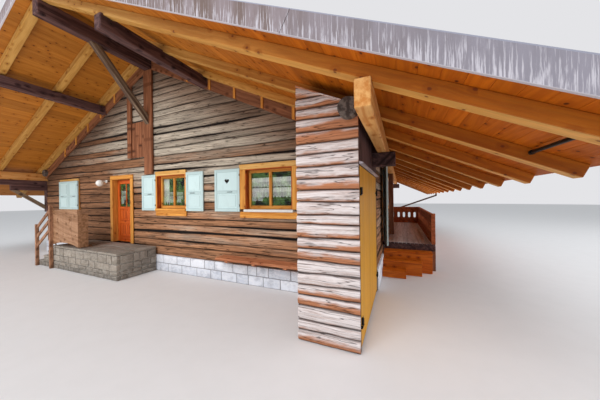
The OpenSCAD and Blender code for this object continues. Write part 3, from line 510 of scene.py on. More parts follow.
@dataclass(frozen=True)
class Weathered:
    """Board bleached by the weather, with upright streaks of stain and lime."""

    base: Colour
    stain: Colour
    lime: Colour
    pale: Colour

    def build(self, name: str) -> bpy.types.Material:
        """Make the material.

        Args:
            name: Its name.

        Returns:
            The finished material.
        """
        s = Shader(name)
        where = s.geometry()
        stripe = s.noise(where, (5.0, 5.0, 0.6), 5.0, 0.68)
        drip = s.noise(where, (95.0, 95.0, 4.4), 4.0, 0.64)
        cloud = s.noise(where, 1.3, 4.0, 0.65)
        fibre = s.noise(s.grain(), (4.0, 120.0, 120.0), 3.0, 0.6)
        x = s.part(where, "X")
        rise = s.part(where, "Z") + abs(x) * SLOPE - PLAN.rafter_z(0)
        fall = s.band(rise + (cloud - 0.5) * 0.30, 0.16, 0.38)
        far = s.band(x + (cloud - 0.5) * 2.0, 4.6, 7.4)
        white = far * 0.10 - fall * 0.45 + s.band(drip, 0.44, 0.64) * 0.80
        tone = s.coats(
            linear(self.base),
            (s.band(stripe, 0.36, 0.64), self.stain),
            (far * 0.60, self.pale),
            (s.band(white, 0.08, 0.85), self.lime),
            (s.band(rise, 0.380, 0.382), self.pale),
            (1 - s.band(rise, 0.1465, 0.1490), self.lime),
        )
        tone = s.varied(tone, (0.94,) * 3, (1.05,) * 3)
        return s.close(tone, 0.7, fibre * 0.5 + drip * 0.5, 0.0015)


@dataclass(frozen=True)
class Painted:
    """Painted or stained joinery with brush marks, painted shade along every edge of each part, faint wear at
    the edges and dust.
    """

    coat: Colour
    under: Colour
    wear: float = 0.35
    rough: float = 0.5
    spread: float = 0.06

    def build(self, name: str) -> bpy.types.Material:
        """Make the material.

        Args:
            name: Its name.

        Returns:
            The finished material.
        """
        s = Shader(name)
        grain = s.grain()
        brush = s.noise(grain, (3.0, 90.0, 90.0), 4.0, 0.6)
        cloud = s.noise(grain, (2.5, 6.0, 6.0), 3.0, 0.6)
        side, face = (s.band(abs(s.place(axis)), 0.90, 1.0) for axis in "YZ")
        tone = s.coats(
            s.varied(linear(self.coat), (1 - self.spread,) * 3, (1 + self.spread,) * 3),
            (s.band(brush, 0.45, 0.8) * 0.18, self.under),
            (s.band(cloud, 0.5, 0.75) * 0.14, self.under, 0.8),
            # Painted shade: every edge of each part is darkened, so the joints and recesses read as shaded
            # lines.
            (side.math("MAXIMUM", side, face) * 0.30, self.under, 0.72),
            (side * face * s.band(cloud, 0.38, 0.60) * self.wear, self.under, 0.55),
        )
        return s.close(tone, self.rough + (cloud - 0.5) * 0.2, brush, 0.0006)


@dataclass(frozen=True)
class Stone:
    """Natural stone whose blocks differ in tone, with grain, veins and dirt."""

    first: Colour
    second: Colour
    vein: Colour
    rough: float = 0.82
    relief: float = 0.004

    def build(self, name: str) -> bpy.types.Material:
        """Make the material.

        Args:
            name: Its name.

        Returns:
            The finished material.
        """
        s = Shader(name)
        grain = s.grain()
        cloud = s.noise(grain, 5.0, 5.0, 0.62)
        speck = s.noise(grain, 70.0, 4.0, 0.7)
        vein = 1 - s.band(abs(s.noise(grain, (3.0, 8.0, 11.0), 4.0, 0.7) - 0.5), 0.01, 0.05)
        tone = s.coats(
            linear(self.first),
            (s.tint(), self.second),
            (s.band(cloud, 0.42, 0.70) * 0.6, self.second, 0.62),
            (s.band(speck, 0.55, 0.75) * 0.4, self.vein, 0.6),
            (vein * 0.35, self.vein),
        )
        return s.close(tone, self.rough, cloud * 0.7 + speck * 0.3, self.relief)


@dataclass(frozen=True)
class Metal:
    """Coated sheet or wrought iron, slightly blotched."""

    coat: Colour
    rough: float
    metallic: float = 0.5

    def build(self, name: str) -> bpy.types.Material:
        """Make the material.

        Args:
            name: Its name.

        Returns:
            The finished material.
        """
        s = Shader(name)
        grain = s.grain()
        blotch = s.noise(grain, 14.0, 4.0, 0.6)
        tone = s.mix(s.band(blotch, 0.4, 0.7), linear(self.coat), linear(self.coat, 0.6))
        pits = s.noise(grain, 160.0, 2.0, 0.6)
        return s.close(tone, self.rough + (blotch - 0.5) * 0.3, pits, 0.0004, Metallic=self.metallic)


@dataclass(frozen=True)
class Pane:
    """Window glass: a clear sheet with faint waves, clouded from green to near black as a painted reflection
    of greenery.
    """

    tone: Colour
    depth: Colour
    alpha: float

    def build(self, name: str) -> bpy.types.Material:
        """Make the material.

        Args:
            name: Its name.

        Returns:
            The finished material.
        """
        s = Shader(name)
        cloud = s.band(s.noise(s.geometry(), 7.0, 4.0, 0.65), 0.42, 0.60)
        # Painted reflection: green clouds stand for reflected greenery, over a near-black tone.
        tone = s.mix(cloud, linear(self.tone), linear(self.depth))
        wave = s.noise(s.geometry(), 3.0, 1.0, 0.5)
        return s.close(tone, 0.04, wave, 0.002, Alpha=self.alpha, IOR=1.5)


@dataclass(frozen=True)
class Lace:
    """Net curtain, woven of threads with open mesh between them and a scalloped hem; it glows faintly, which
    is painted light.
    """

    thread: tuple[float, float, float, float]
    shade: tuple[float, float, float, float]

    def build(self, name: str) -> bpy.types.Material:
        """Make the material.

        Args:
            name: Its name.

        Returns:
            The finished material.
        """
        s = Shader(name)
        grain = s.grain()
        drop = s.place("Z")
        turn = s.part(grain, "X") * 33.0
        hem = drop - abs(turn.math("SINE", turn)) * 0.13
        flat = s.vector("MULTIPLY", grain, (1.0, 1.0, 0.0))
        mesh = {"Vector": flat, "Scale": 60.0, "Mortar Size": 0.05}
        threads = s.node("ShaderNodeTexBrick", {"offset": 0.5}, mesh, "Fac")
        cell = {"Vector": grain, "Scale": 11.0}
        petal = s.node("ShaderNodeTexVoronoi", {"feature": "F1"}, cell, "Distance")
        motif = 1 - s.band(petal, 0.25, 0.42)
        weave = threads * 0.18 + motif * 0.30 + (1 - s.band(drop, 0.34, 0.50)) * 0.45 + 0.32
        dense = weave.math("MINIMUM", weave, 1.0) * (1 - s.band(hem, 0.84, 0.87))
        tone = s.mix(motif * 0.4, self.thread, self.shade)
        # Painted light: the lace emits a faint glow of its own tone.
        glow = {"Emission_Color": tone, "Emission_Strength": 0.28}
        return s.close(tone, 0.9, threads, 0.0006, Alpha=dense, **glow)


@dataclass(frozen=True)
class Plain:
    """Opal glass, mortar, or the near-black painted shade in joints, with a faint mottle."""

    tone: Colour
    rough: float
    relief: float = 0.0

    def build(self, name: str) -> bpy.types.Material:
        """Make the material.

        Args:
            name: Its name.

        Returns:
            The finished material.
        """
        s = Shader(name)
        mottle = s.noise(s.geometry(), 24.0, 4.0, 0.6)
        tone = s.mix(s.band(mottle, 0.35, 0.75) * 0.3, linear(self.tone), linear(self.tone, 0.7))
        return s.close(tone, self.rough, mottle, self.relief)


class Palette:
    """Every finish of the house, built when a piece first asks for it."""

    finishes: dict[str, Wood | Hewn | Slab | Weathered | Painted | Stone | Metal | Pane | Lace | Plain] = {
        "hewn_wall": Hewn((202, 190, 171), (184, 134, 98), (44, 30, 24)),
        "wall_gap": Plain((26, 20, 18), 0.95, 0.002),
        # Painted light: the right tones and the pale underside tone paint in the light on the right side.
        "rafter_wood": Wood(
            (200, 154, 84), (166, 114, 48), (104, 48, 18), 0.10, 0.50, lines=0.8,
            right=((176, 98, 18), (142, 68, 7)), painted_underside_light=(244, 186, 100),
        ),
        # Painted light: the right tones paint in the warmer light on the right side.
        "soffit_wood": Wood(
            (176, 112, 38), (146, 84, 20), (76, 30, 8), 0.16, 0.46, lines=0.65,
            right=((188, 98, 14), (154, 70, 6)),
        ),
        "pale_wood": Wood((214, 163, 100), (188, 121, 58), (124, 70, 34), 0.08, 0.35),
        "dark_wood": Wood((102, 74, 70), (58, 39, 40), (30, 20, 18), 0.18, 0.35, 0.65),
        "strut_wood": Wood((140, 120, 98), (86, 66, 54), (40, 28, 24), 0.10, 0.35, 0.8),
        "log_wood": Wood((122, 112, 104), (70, 62, 58), (30, 26, 24), 0.10, 0.3, 0.75),
        "red_wood": Wood((150, 98, 68), (106, 64, 42), (64, 38, 26), 0.14, 0.3, 0.6),
        "orange_wood": Wood((212, 112, 26), (168, 78, 12), (92, 38, 10), 0.12, 0.3, 0.5),
        "lining_wood": Wood((196, 96, 32), (146, 60, 16), (84, 34, 12), 0.10, 0.2, 0.5),
        "verge_board": Weathered((136, 123, 124), (112, 95, 88), (194, 190, 196), (148, 149, 162)),
        "log_slab": Slab((224, 215, 211), (188, 126, 90), (58, 38, 30)),
        "mint_paint": Painted((198, 221, 220), (160, 184, 182)),
        "ochre_stain": Painted((216, 156, 18), (176, 110, 12), 0.3, 0.55, 0.10),
        "roof_stone": Stone((104, 108, 114), (74, 78, 84), (140, 140, 138), 0.72, 0.005),
        "plinth_stone": Stone((236, 239, 244), (206, 211, 220), (246, 246, 246)),
        "landing_stone": Stone((144, 135, 124), (116, 108, 98), (176, 170, 160)),
        "grey_mortar": Plain((150, 150, 153), 0.95, 0.004),
        "lime_mortar": Plain((186, 181, 172), 0.95, 0.004),
        "grey_board": Wood((208, 200, 204), (150, 138, 142), (88, 74, 72), 0.18, 0.3, 0.75),
        # Painted light: a pale tone raised against the roof's shade over the deck.
        "deck_wood": Wood(
            (226, 214, 216), (168, 152, 152), (96, 82, 82), 0.20, 0.25, 0.42, lines=0.7, sheen=0.7
        ),
        "black_iron": Metal((26, 25, 25), 0.5),
        "brown_gutter": Metal((92, 70, 56), 0.4),
        "window_glass": Pane((104, 146, 78), (24, 34, 26), 0.28),
        "lace": Lace((0.95, 0.96, 0.94, 1), (0.66, 0.70, 0.66, 1)),
        "frame_wood": Wood((226, 160, 76), (188, 120, 48), (98, 54, 26), 0.10, 0.25, 0.5),
        "lintel_wood": Wood((218, 174, 104), (196, 144, 76), (140, 90, 48), 0.08, 0.3, 0.55),
        "door_wood": Wood((220, 104, 38), (172, 70, 20), (100, 40, 14), 0.10, 0.2, 0.5),
        "carved_wood": Wood((160, 122, 92), (124, 88, 60), (74, 48, 30), 0.10, 0.3, 0.55),
        "maroon_wood": Wood((206, 114, 68), (158, 80, 42), (96, 46, 26), 0.16, 0.2, 0.6),
        "bench_wood": Wood((214, 146, 104), (168, 102, 68), (96, 52, 30), 0.12, 0.3, 0.5),
        "brown_wood": Wood((158, 116, 88), (108, 74, 54), (62, 38, 28), 0.14, 0.3, 0.6),
        "white_paint": Painted((232, 231, 226), (190, 186, 176)),
        "opal_glass": Plain((238, 238, 232), 0.25),
    }

    def __init__(self) -> None:
        """Start with nothing built."""
        self.made: dict[str, bpy.types.Material] = {}

    def of(self, names: str) -> list[bpy.types.Material]:
        """Look up finishes, and build those that are new.

        Args:
            names: Their names, with blanks between them.

        Returns:
            Their materials.
        """
        for name in names.split():
            if name not in self.made:
                self.made[name] = self.finishes[name].build(name)
        return [self.made[name] for name in names.split()]


PALETTE = Palette()


def rough(size: float, *at: float) -> float:
    """Smooth unevenness of a size at a point."""
    return noise.noise(Vector(at)) * size


def stations(length: float, rim: float, step: float) -> list[Spot]:
    """Cross sections of a timber.

    Args:
        length: Its length.
        rim: How far its ends are eased.
        step: Distance between the sections; 0 for none but those at the ends.

    Returns:
        How far along each one lies, and how much narrower it is.
    """
    count = max(1, round(length / step)) if step else 1
    inner = [(rim + (length - 2 * rim) * i / count, 0.0) for i in range(count + 1)]
    return [(0.0, rim), *inner, (length, rim)]


class Form:
    """Faces of one piece, with the wood's own coordinates at every vertex."""

    def __init__(self, seed: int, matrix: Matrix | None = None) -> None:
        """Start an empty piece.

        Args:
            seed: Start of its random draw.
            matrix: Frame in which its shells are added.
        """
        self.draw = random.Random(seed)
        self.matrix = matrix or Matrix.Identity(4)
        self.points: list[Vector] = []
        self.grain: list[Vector] = []
        self.place: list[Vector] = []
        self.tint: list[float] = []
        self.faces: list[tuple[int, ...]] = []
        self.marks: list[int] = []
        self.mark = 0

    def shift(self) -> Vector:
        """Draw a random way through the noise."""
        return Vector([self.draw.uniform(0, 60) for _ in range(3)])

    def lengths(self, start: float, end: float, low: float, high: float, rest: float = 0.0) -> Iterable[Spot]:
        """Cut a stretch into random lengths.

        Args:
            start: Its start.
            end: Its end.
            low: Shortest length.
            high: Longest length.
            rest: A rest shorter than this goes to the last length.

        Yields:
            Start and end of each length.
        """
        while start < end - 0.05:
            stop = start + self.draw.uniform(low, high)
            stop = end if end - stop < rest else stop
            yield start, stop
            start = stop

    def add(self, spots: Ring, faces: Iterable[Sequence[int]], tint: float | None = None) -> None:
        """Add one closed shell.

        Args:
            spots: For every vertex its point in the form's frame, the wood's coordinates in metres,
                and where it lies on the timber.
            faces: Its faces, numbered from its first vertex.
            tint: Its random number; drawn if left out.
        """
        first, shift = len(self.points), self.shift()
        tone = self.draw.random() if tint is None else tint
        for point, grain, place in spots:
            self.points.append(self.matrix @ point)
            self.grain.append(grain + shift)
            self.place.append(place)
        self.tint += [tone] * len(spots)
        self.faces += [tuple(first + i for i in face) for face in faces]
        self.marks += [self.mark] * (len(self.faces) - len(self.marks))

    def skin(self, rings: list[Ring]) -> None:
        """Add a closed body with a face on each end.

        Args:
            rings: Its cross sections, equally long.
        """
        n = len(rings[0])
        last = (len(rings) - 1) * n
        faces = [tuple(range(n - 1, -1, -1)), tuple(range(last, last + n))]
        for first in range(0, last, n):
            for k in range(n):
                a, b = first + k, first + (k + 1) % n
                faces.append((a, b, b + n, a + n))
        self.add([spot for ring in rings for spot in ring], faces)

    def bar(
        self, start: Row, end: Row, width: float, height: float, up: Row = UPRIGHT, edge: float = 0.004,
        step: float = 0.0, wave: float = 0.0,
    ) -> None:
        """Add a squared timber with eased edges.

        Args:
            start: Middle of its first end.
            end: Middle of its other end.
            width: Size square to its length and to up.
            height: Size along up.
            up: Direction that its height is measured in.
            edge: Width of the eased edges.
            step: Distance between cross sections, where it is wavy.
            wave: How far its edges wander.
        """
        a, b = Vector(start), Vector(end)
        length = (b - a).length
        axis = (b - a) / length
        side = axis.cross(Vector(up)).normalized()
        lift = side.cross(axis)
        e = min(edge, width / 3, height / 3, length / 3)
        y, z = width / 2, height / 2
        right = [(y - e, -z), (y, e - z), (y, z - e), (y - e, z)]
        corners = right + [(-cy, cz) for cy, cz in right[::-1]]
        shift = self.shift()
        rings = []
        for s, inset in stations(length, e, step):
            ring = []
            for cy, cz in corners:
                at = Vector((s * 1.4, cy * 4, cz * 4)) + shift
                sway = noise.noise_vector(at) * wave if wave else Vector()
                py, pz = cy * (1 - inset / y) + sway.y, cz * (1 - inset / z) + sway.z
                point = a + axis * s + side * py + lift * pz
                ring.append((point, Vector((s, cy, cz)), Vector((s, cy / y, cz / z))))
            rings.append(ring)
        self.skin(rings)

    def box(self, low: Row, high: Row, run: int = 0, edge: float = 0.004, **more: float) -> None:
        """Add an upright squared timber.

        Args:
            low: Its lower corner.
            high: Its upper corner.
            run: Axis of its grain.
            edge: Width of the eased edges.
            **more: Step and wave, where it is wavy.
        """
        a, b = Vector(low), Vector(high)
        start = (a + b) / 2
        end, size = start.copy(), b - a
        start[run], end[run] = a[run], b[run]
        width, height = size[1 if run == 0 else 0], size[1 if run == 2 else 2]
        self.bar(start, end, width, height, ALONG_Y if run == 2 else UPRIGHT, edge, **more)

    def boxes(self, run: int, edge: float, *rows: Row) -> None:
        """Add timbers given by where they start and end along X, Y and Z."""
        for x0, x1, y0, y1, z0, z1 in rows:
            self.box((x0, y0, z0), (x1, y1, z1), run, edge)

    def log(
        self, start: Row, end: Row, radius: float, sides: int = 20, step: float = 0.2, wave: float = 0.0
    ) -> None:
        """Add a round timber.

        Args:
            start: Middle of its first end.
            end: Middle of its other end.
            radius: Half its thickness.
            sides: Number of its sides.
            step: Distance between cross sections.
            wave: How far its girth wanders.
        """
        a, b = Vector(start), Vector(end)
        length = (b - a).length
        axis = (b - a) / length
        side = axis.orthogonal().normalized()
        lift = axis.cross(side)
        shift = self.shift()
        turns = [2 * math.pi * k / sides for k in range(sides)]
        rings = []
        for s, inset in stations(length, min(0.004, radius / 4), step):
            ring = []
            for c, d in ((math.cos(t), math.sin(t)) for t in turns):
                at = Vector((s * 0.9, c * 1.4, d * 1.4)) + shift
                r = radius - inset + (noise.noise(at) * wave if wave else 0.0)
                point = a + axis * s + side * c * r + lift * d * r
                ring.append((point, Vector((s, c * r, d * r)), Vector((s, c, 0.0))))
            rings.append(ring)
        self.skin(rings)

    def pin(self, x: float, y: float, z: float) -> None:
        """Add a hinge barrel round a point of its axis."""
        self.log((x, y, z - 0.045), (x, y, z + 0.045), 0.0155, 16, 0.09)

    def prism(
        self, outline: Sequence[Spot], depth: Spot, edge: float = 0.004, run: Row | None = None,
        is_sideways: bool = False,
    ) -> None:
        """Add a board cut to an outline, with eased edges.

        Args:
            outline: Its corners in X and Z, or in Y and Z if it is sideways.
            depth: Where it starts and ends, square to the outline.
            edge: Width of the eased edges.
            run: Direction of the grain; its longest side if left out.
            is_sideways: Whether it faces along X.
        """
        work = bmesh.new()
        near, far = (
            [work.verts.new((d, u, v) if is_sideways else (u, d, v)) for u, v in outline] for d in depth
        )
        work.faces.new(near)
        work.faces.new(far[::-1])
        for i, j in enumerate([*range(1, len(outline)), 0]):
            work.faces.new((near[j], near[i], far[i], far[j]))
        self.take(work, edge, run)

    def stone(self, low: Row, high: Row, edge: float = 0.012) -> None:
        """Add one stone with worn corners and a slightly uneven face.

        Args:
            low: Its lower corner.
            high: Its upper corner.
            edge: Width of its rounded edges.
        """
        work = bmesh.new()
        a, b = Vector(low), Vector(high)
        middle = [(a[i] + b[i]) / 2 for i in range(3)]
        for v in bmesh.ops.create_cube(work, size=1.0)["verts"]:
            v.co = Vector([middle[i] + v.co[i] * (b[i] - a[i]) for i in range(3)])
            worn = [self.draw.uniform(-0.25, 0.0) * edge for _ in range(3)]
            v.co += Vector([worn[i] * (1 if v.co[i] > middle[i] else -1) for i in range(3)])
        bmesh.ops.bevel(
            work, geom=list(work.edges), offset=edge, offset_type="OFFSET", segments=2, profile=0.6,
            affect="EDGES", clamp_overlap=True,
        )
        self.take(work, 0.0)

    def take(self, work: bmesh.types.BMesh, edge: float, run: Row | None = None) -> None:
        """Ease the edges of every closed shell of a mesh, and add each with its own grain.

        Args:
            work: The shells; freed afterwards.
            edge: Width of the eased edges; 0 leaves them sharp.
            run: Direction of the grain; each shell's longest way if left out.
        """
        bmesh.ops.recalc_face_normals(work, faces=work.faces)
        if edge:
            sharp = [e for e in work.edges if len(e.link_faces) == 2 and e.calc_face_angle(0) > 0.55]
            bmesh.ops.bevel(
                work, geom=sharp, offset=edge, offset_type="OFFSET", segments=1, profile=0.5,
                affect="EDGES", clamp_overlap=True,
            )
        work.verts.ensure_lookup_table()
        work.verts.index_update()
        work.faces.index_update()
        seen: set[int] = set()
        for first in work.verts:
            if first.index in seen:
                continue
            group, todo = [], [first]
            seen.add(first.index)
            while todo:
                vert = todo.pop()
                group.append(vert)
                for other in (e.other_vert(vert) for e in vert.link_edges):
                    if other.index not in seen:
                        seen.add(other.index)
                        todo.append(other)
            self.island(group, run)
        work.free()

    def island(self, group: list[bmesh.types.BMVert], run: Row | None) -> None:
        """Add one connected shell.

        Args:
            group: Its vertices.
            run: Direction of the grain; its longest way if None.
        """
        cloud = np.array([v.co for v in group])
        if run is None:
            axes = np.linalg.eigh(np.cov((cloud - cloud.mean(0)).T))[1][:, ::-1].T
        else:
            along = Vector(run).normalized()
            level = along.orthogonal() if abs(along.z) > 0.99 else along.cross(Vector(UPRIGHT)).normalized()
            axes = np.array([along, level, along.cross(level)])
        local = (cloud - (cloud.max(0) + cloud.min(0)) / 2) @ axes.T
        half = np.maximum(np.abs(local).max(0), 1e-6)
        local[:, 0] += half[0]
        number = {v.index: i for i, v in enumerate(group)}
        faces = {f.index: [number[v.index] for v in f.verts] for v in group for f in v.link_faces}
        place = [Vector((p[0], p[1] / half[1], p[2] / half[2])) for p in local]
        spots = [(v.co.copy(), Vector(p), q) for v, p, q in zip(group, local, place)]
        self.add(spots, faces.values())

    def carry(self, node: str, edge: float = 0.005, run: Row | None = None) -> None:
        """Add the solids of a CAD node where they stand.

        Args:
            node: Its name.
            edge: Width of the eased edges.
            run: Direction of the grain; each solid's longest way if left out.
        """
        work = bmesh.new()
        work.from_mesh(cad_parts[node].data)
        bmesh.ops.remove_doubles(work, verts=work.verts, dist=1e-5)
        bmesh.ops.dissolve_limit(work, angle_limit=0.01, verts=work.verts, edges=work.edges)
        work.faces.index_update()
        self.take(work, edge, run)

    def piece(
        self, name: str, finishes: str, slot: str, nodes: str = "", body: str = "house", crease: float = 32.0
    ) -> bpy.types.Object:
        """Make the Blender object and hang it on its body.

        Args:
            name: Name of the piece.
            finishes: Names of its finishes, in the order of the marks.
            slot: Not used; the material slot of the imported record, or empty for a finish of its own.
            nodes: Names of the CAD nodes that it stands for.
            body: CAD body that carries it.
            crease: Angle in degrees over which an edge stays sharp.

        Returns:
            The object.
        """
        mesh = bpy.data.meshes.new(name)
        mesh.from_pydata(self.points, [], self.faces)
        work = bmesh.new()
        work.from_mesh(mesh)
        bmesh.ops.recalc_face_normals(work, faces=work.faces)
        work.to_mesh(mesh)
        work.free()
        layers = (
            ("grain", "FLOAT_VECTOR", "vector", self.grain),
            ("place", "FLOAT_VECTOR", "vector", self.place),
            ("tint", "FLOAT", "value", self.tint),
        )
        for key, kind, field, rows in layers:
            layer = mesh.attributes.new(key, kind, "POINT")
            layer.data.foreach_set(field, np.array(rows, dtype=np.float32).ravel())
        for material in PALETTE.of(finishes):
            mesh.materials.append(material)
        mesh.polygons.foreach_set("material_index", self.marks)
        mesh.shade_smooth()
        mesh.set_sharp_from_angle(angle=math.radians(crease))
        made = bpy.data.objects.new(name, mesh)
        bpy.context.scene.collection.objects.link(made)
        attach(made, body)
        if nodes:
            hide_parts(*nodes.split())
        LOG.info("%s: %d faces", name, len(self.faces))
        return made


@dataclass(frozen=True)
class Carried:
    """A piece that keeps its CAD node's solids, with eased edges and grain.

    Fields: seed of its random draw, node, name, finish, slot, width of the eased edges, direction
    of the grain where it isn't each solid's longest way, crease in degrees, and body.
    """

    seed: int
    node: str
    name: str
    finish: str
    slot: str
    edge: float
    run: Row | None = None
    crease: float = 32.0
    body: str = "house"

    def build(self) -> None:
        """Make the piece."""
        form = Form(self.seed)
        form.carry(self.node, self.edge, self.run)
        form.piece(self.name, self.finish, self.slot, self.node, self.body, self.crease)


class Assembly:
    """Part of the house: pieces that keep their CAD solids, and those that it makes itself."""

    carried: tuple[Carried, ...] = ()

    def make(self) -> None:
        """Make its own pieces; each kind of assembly fills this in."""

    def build(self) -> None:
        """Make every piece."""
        LOG.info("building %s", type(self).__name__)
        for kept in self.carried:
            kept.build()
        self.make()


@dataclass(frozen=True)
class Gap:
    """Opening in a wall, in the wall's own frame."""

    x0: float
    x1: float
    z0: float
    z1: float


@dataclass
class HewnWall:
    """Wall of uneven hewn timbers, cut round its openings and under the roof boarding."""

    name: str
    side: Side
    nodes: str
    x0: float
    x1: float
    top: float
    gaps: tuple[Gap, ...]
    seed: int
    is_gable: bool = False
    step: float = 0.12
    insets: tuple[float, ...] = (0, 5, 2, 8, 0, 4, 9, 1, 6, 3)
    rows: tuple[float, ...] = (0.0, 0.05, 0.16, 0.38, 0.62, 0.84, 0.95, 1.0)

    def joint(self, i: int, x: float, sign: int) -> float:
        """One side of the open joint under a timber, which wanders.

        Args:
            i: Number of the timber.
            x: Distance along the wall.
            sign: 1 for the joint's upper side, -1 for its lower one.

        Returns:
            Its height.
        """
        if i == 0:
            return PLAN.plinth
        key, wide = i * 7.31 + self.seed * 13.7, i * 3.77 + self.seed * 5.1
        middle = course_z(i) + rough(0.058, x * 0.20, key, 0.0) + rough(0.011, x * 1.3, key, 4.0)
        split = max(0.0, rough(1.0, x * 0.33, wide, 9.0) - 0.02) * 0.046
        return middle + sign * (0.004 + split + abs(rough(0.004, x * 2.6, wide, 2.0)))

    def ends(self, z: float) -> Spot:
        """Cut the wall off under the roof boarding.

        Args:
            z: Height.

        Returns:
            Both ends of the wall there.
        """
        if not self.is_gable:
            return self.x0, self.x1
        middle = PLAN.half_w if self.side is Side.REAR else 0.0
        reach = max(0.02, PLAN.half_w - (z - PLAN.under - PLAN.rafter_v + 0.004) / SLOPE)
        return max(self.x0, middle - reach), min(self.x1, middle + reach)

    def timber(
        self, form: Form, i: int, xa: float, xb: float, low: float | None, high: float | None
    ) -> None:
        """Add one length of timber.

        Args:
            form: Receives it.
            i: Number of the timber.
            xa: Its left end.
            xb: Its right end.
            low: Straight lower edge, where an opening's head cuts it.
            high: Straight upper edge, where an opening's sill cuts it.
        """
        count = max(2, round((xb - xa) / self.step))
        inset = self.insets[i % 10] / 1000
        levels = [*((v, 0.0) for v in self.rows), (1.0, PLAN.wall), (0.0, PLAN.wall)]
        rings = []
        for share in (k / count for k in range(count + 1)):
            x = xa + (xb - xa) * share
            z0 = self.joint(i, x, 1) if low is None else low
            z1 = self.joint(i + 1, x, -1) if high is None else high
            z1 = max(z1, z0 + 0.02)
            ring = []
            for v, depth in levels:
                z = z0 + (z1 - z0) * v
                left, right = self.ends(z)
                left = max(xa, left)
                px = left + (max(min(xb, right), left + 0.004) - left) * share
                y = PLAN.wall - inset - 0.004
                if not depth:
                    rim = abs(2 * v - 1) ** 6 * 0.015
                    lump = rough(0.011, px * 1.7, z * 5.0, i * 2.1 + self.seed)
                    chop = rough(0.004, px * 8.0, z * 16.0, i * 5.3 + self.seed)
                    y = inset + rim + 0.006 + lump + chop
                ring.append((Vector((px, y, z)), Vector((px, z, depth)), Vector((px, 0.0, 2 * v - 1))))
            rings.append(ring)
        form.skin(rings)

    def spans(self, z0: float, z1: float, high: float | None) -> Iterable[tuple]:
        """Cut one course round the openings.

        Args:
            z0: Its lower joint.
            z1: Its upper joint.
            high: Straight upper edge of the topmost course.

        Yields:
            Left end, right end, lower and upper straight edge of each length.
        """
        x, right = self.ends(z0 + 0.01)
        for g in sorted(self.gaps, key=lambda gap: gap.x0):
            if g.z0 < z1 - 0.012 and g.z1 > z0 + 0.012:
                yield x, g.x0, None, high
                x = g.x1
                if g.z0 > z0 + 0.045:
                    yield g.x0, g.x1, None, g.z0
                if g.z1 < z1 - 0.045:
                    yield g.x0, g.x1, g.z1, high
        yield x, right, None, high

    def build(self) -> None:
        """Make the wall, with a near-black filling in the joints that paints the shade of the deep gaps."""
        form = Form(self.seed, self.side.value)
        i = 0
        while course_z(i) < self.top - 0.03:
            z0, z1 = course_z(i), min(course_z(i + 1), self.top)
            high = self.top if course_z(i + 1) >= self.top - 0.03 else None
            for xa, xb, low, up in self.spans(z0, z1, high):
                if xb - xa < 0.05:
                    continue
                form.mark = 0
                self.timber(form, i, xa, xb, low, up)
                # Painted shade: a near-black filling behind each timber shows as the shadow in its joints.
                form.mark = 1
                head = (up or z1) - 0.002
                left, right = self.ends(head)
                left, right = max(xa, left), min(xb, right)
                if right - left > 0.02:
                    form.boxes(0, 0.001, (left, right, 0.04, PLAN.wall - 0.04, (low or z0) + 0.002, head))
            i += 1
        form.piece(self.name, "hewn_wall wall_gap", "hewn_timber", self.nodes, crease=50)


@dataclass
class Walls(Assembly):
    """The four hewn walls, open where the windows and doors are."""

    windows: "Windows"

    def make(self) -> None:
        """Make all four."""
        p = PLAN
        apex, eave = p.rafter_z(0) + p.rafter_v, 2.872
        gaps = {
            s: tuple(
                Gap(*w.edges, p.sill, p.sill + p.window_h) for w in self.windows.rows if w.side is s
            ) for s in Side
        }
        entrance, deck_door = Gap(-1.75, -0.80, p.plinth, 2.57), Gap(2.63, 3.48, p.plinth, 2.69)
        front = "front_wall_left front_wall_right front_gable"
        right = "right_wall_near right_wall_far right_wall_upper"
        for wall in (
            HewnWall("front_timbers", Side.FRONT, front, -5.9, p.store_x, apex,
                     (entrance, *gaps[Side.FRONT]), 3, True, 0.10),
            HewnWall("left_timbers", Side.LEFT, "left_wall", 0.2, 10.4, eave, gaps[Side.LEFT], 11),
            HewnWall("right_timbers", Side.RIGHT, right, p.store_back, 10.4, eave,
                     (deck_door, *gaps[Side.RIGHT]), 23),
            HewnWall("rear_timbers", Side.REAR, "rear_wall", 0.0, 11.8, apex, gaps[Side.REAR], 31,
                     True, 0.14),
        ):
            wall.build()


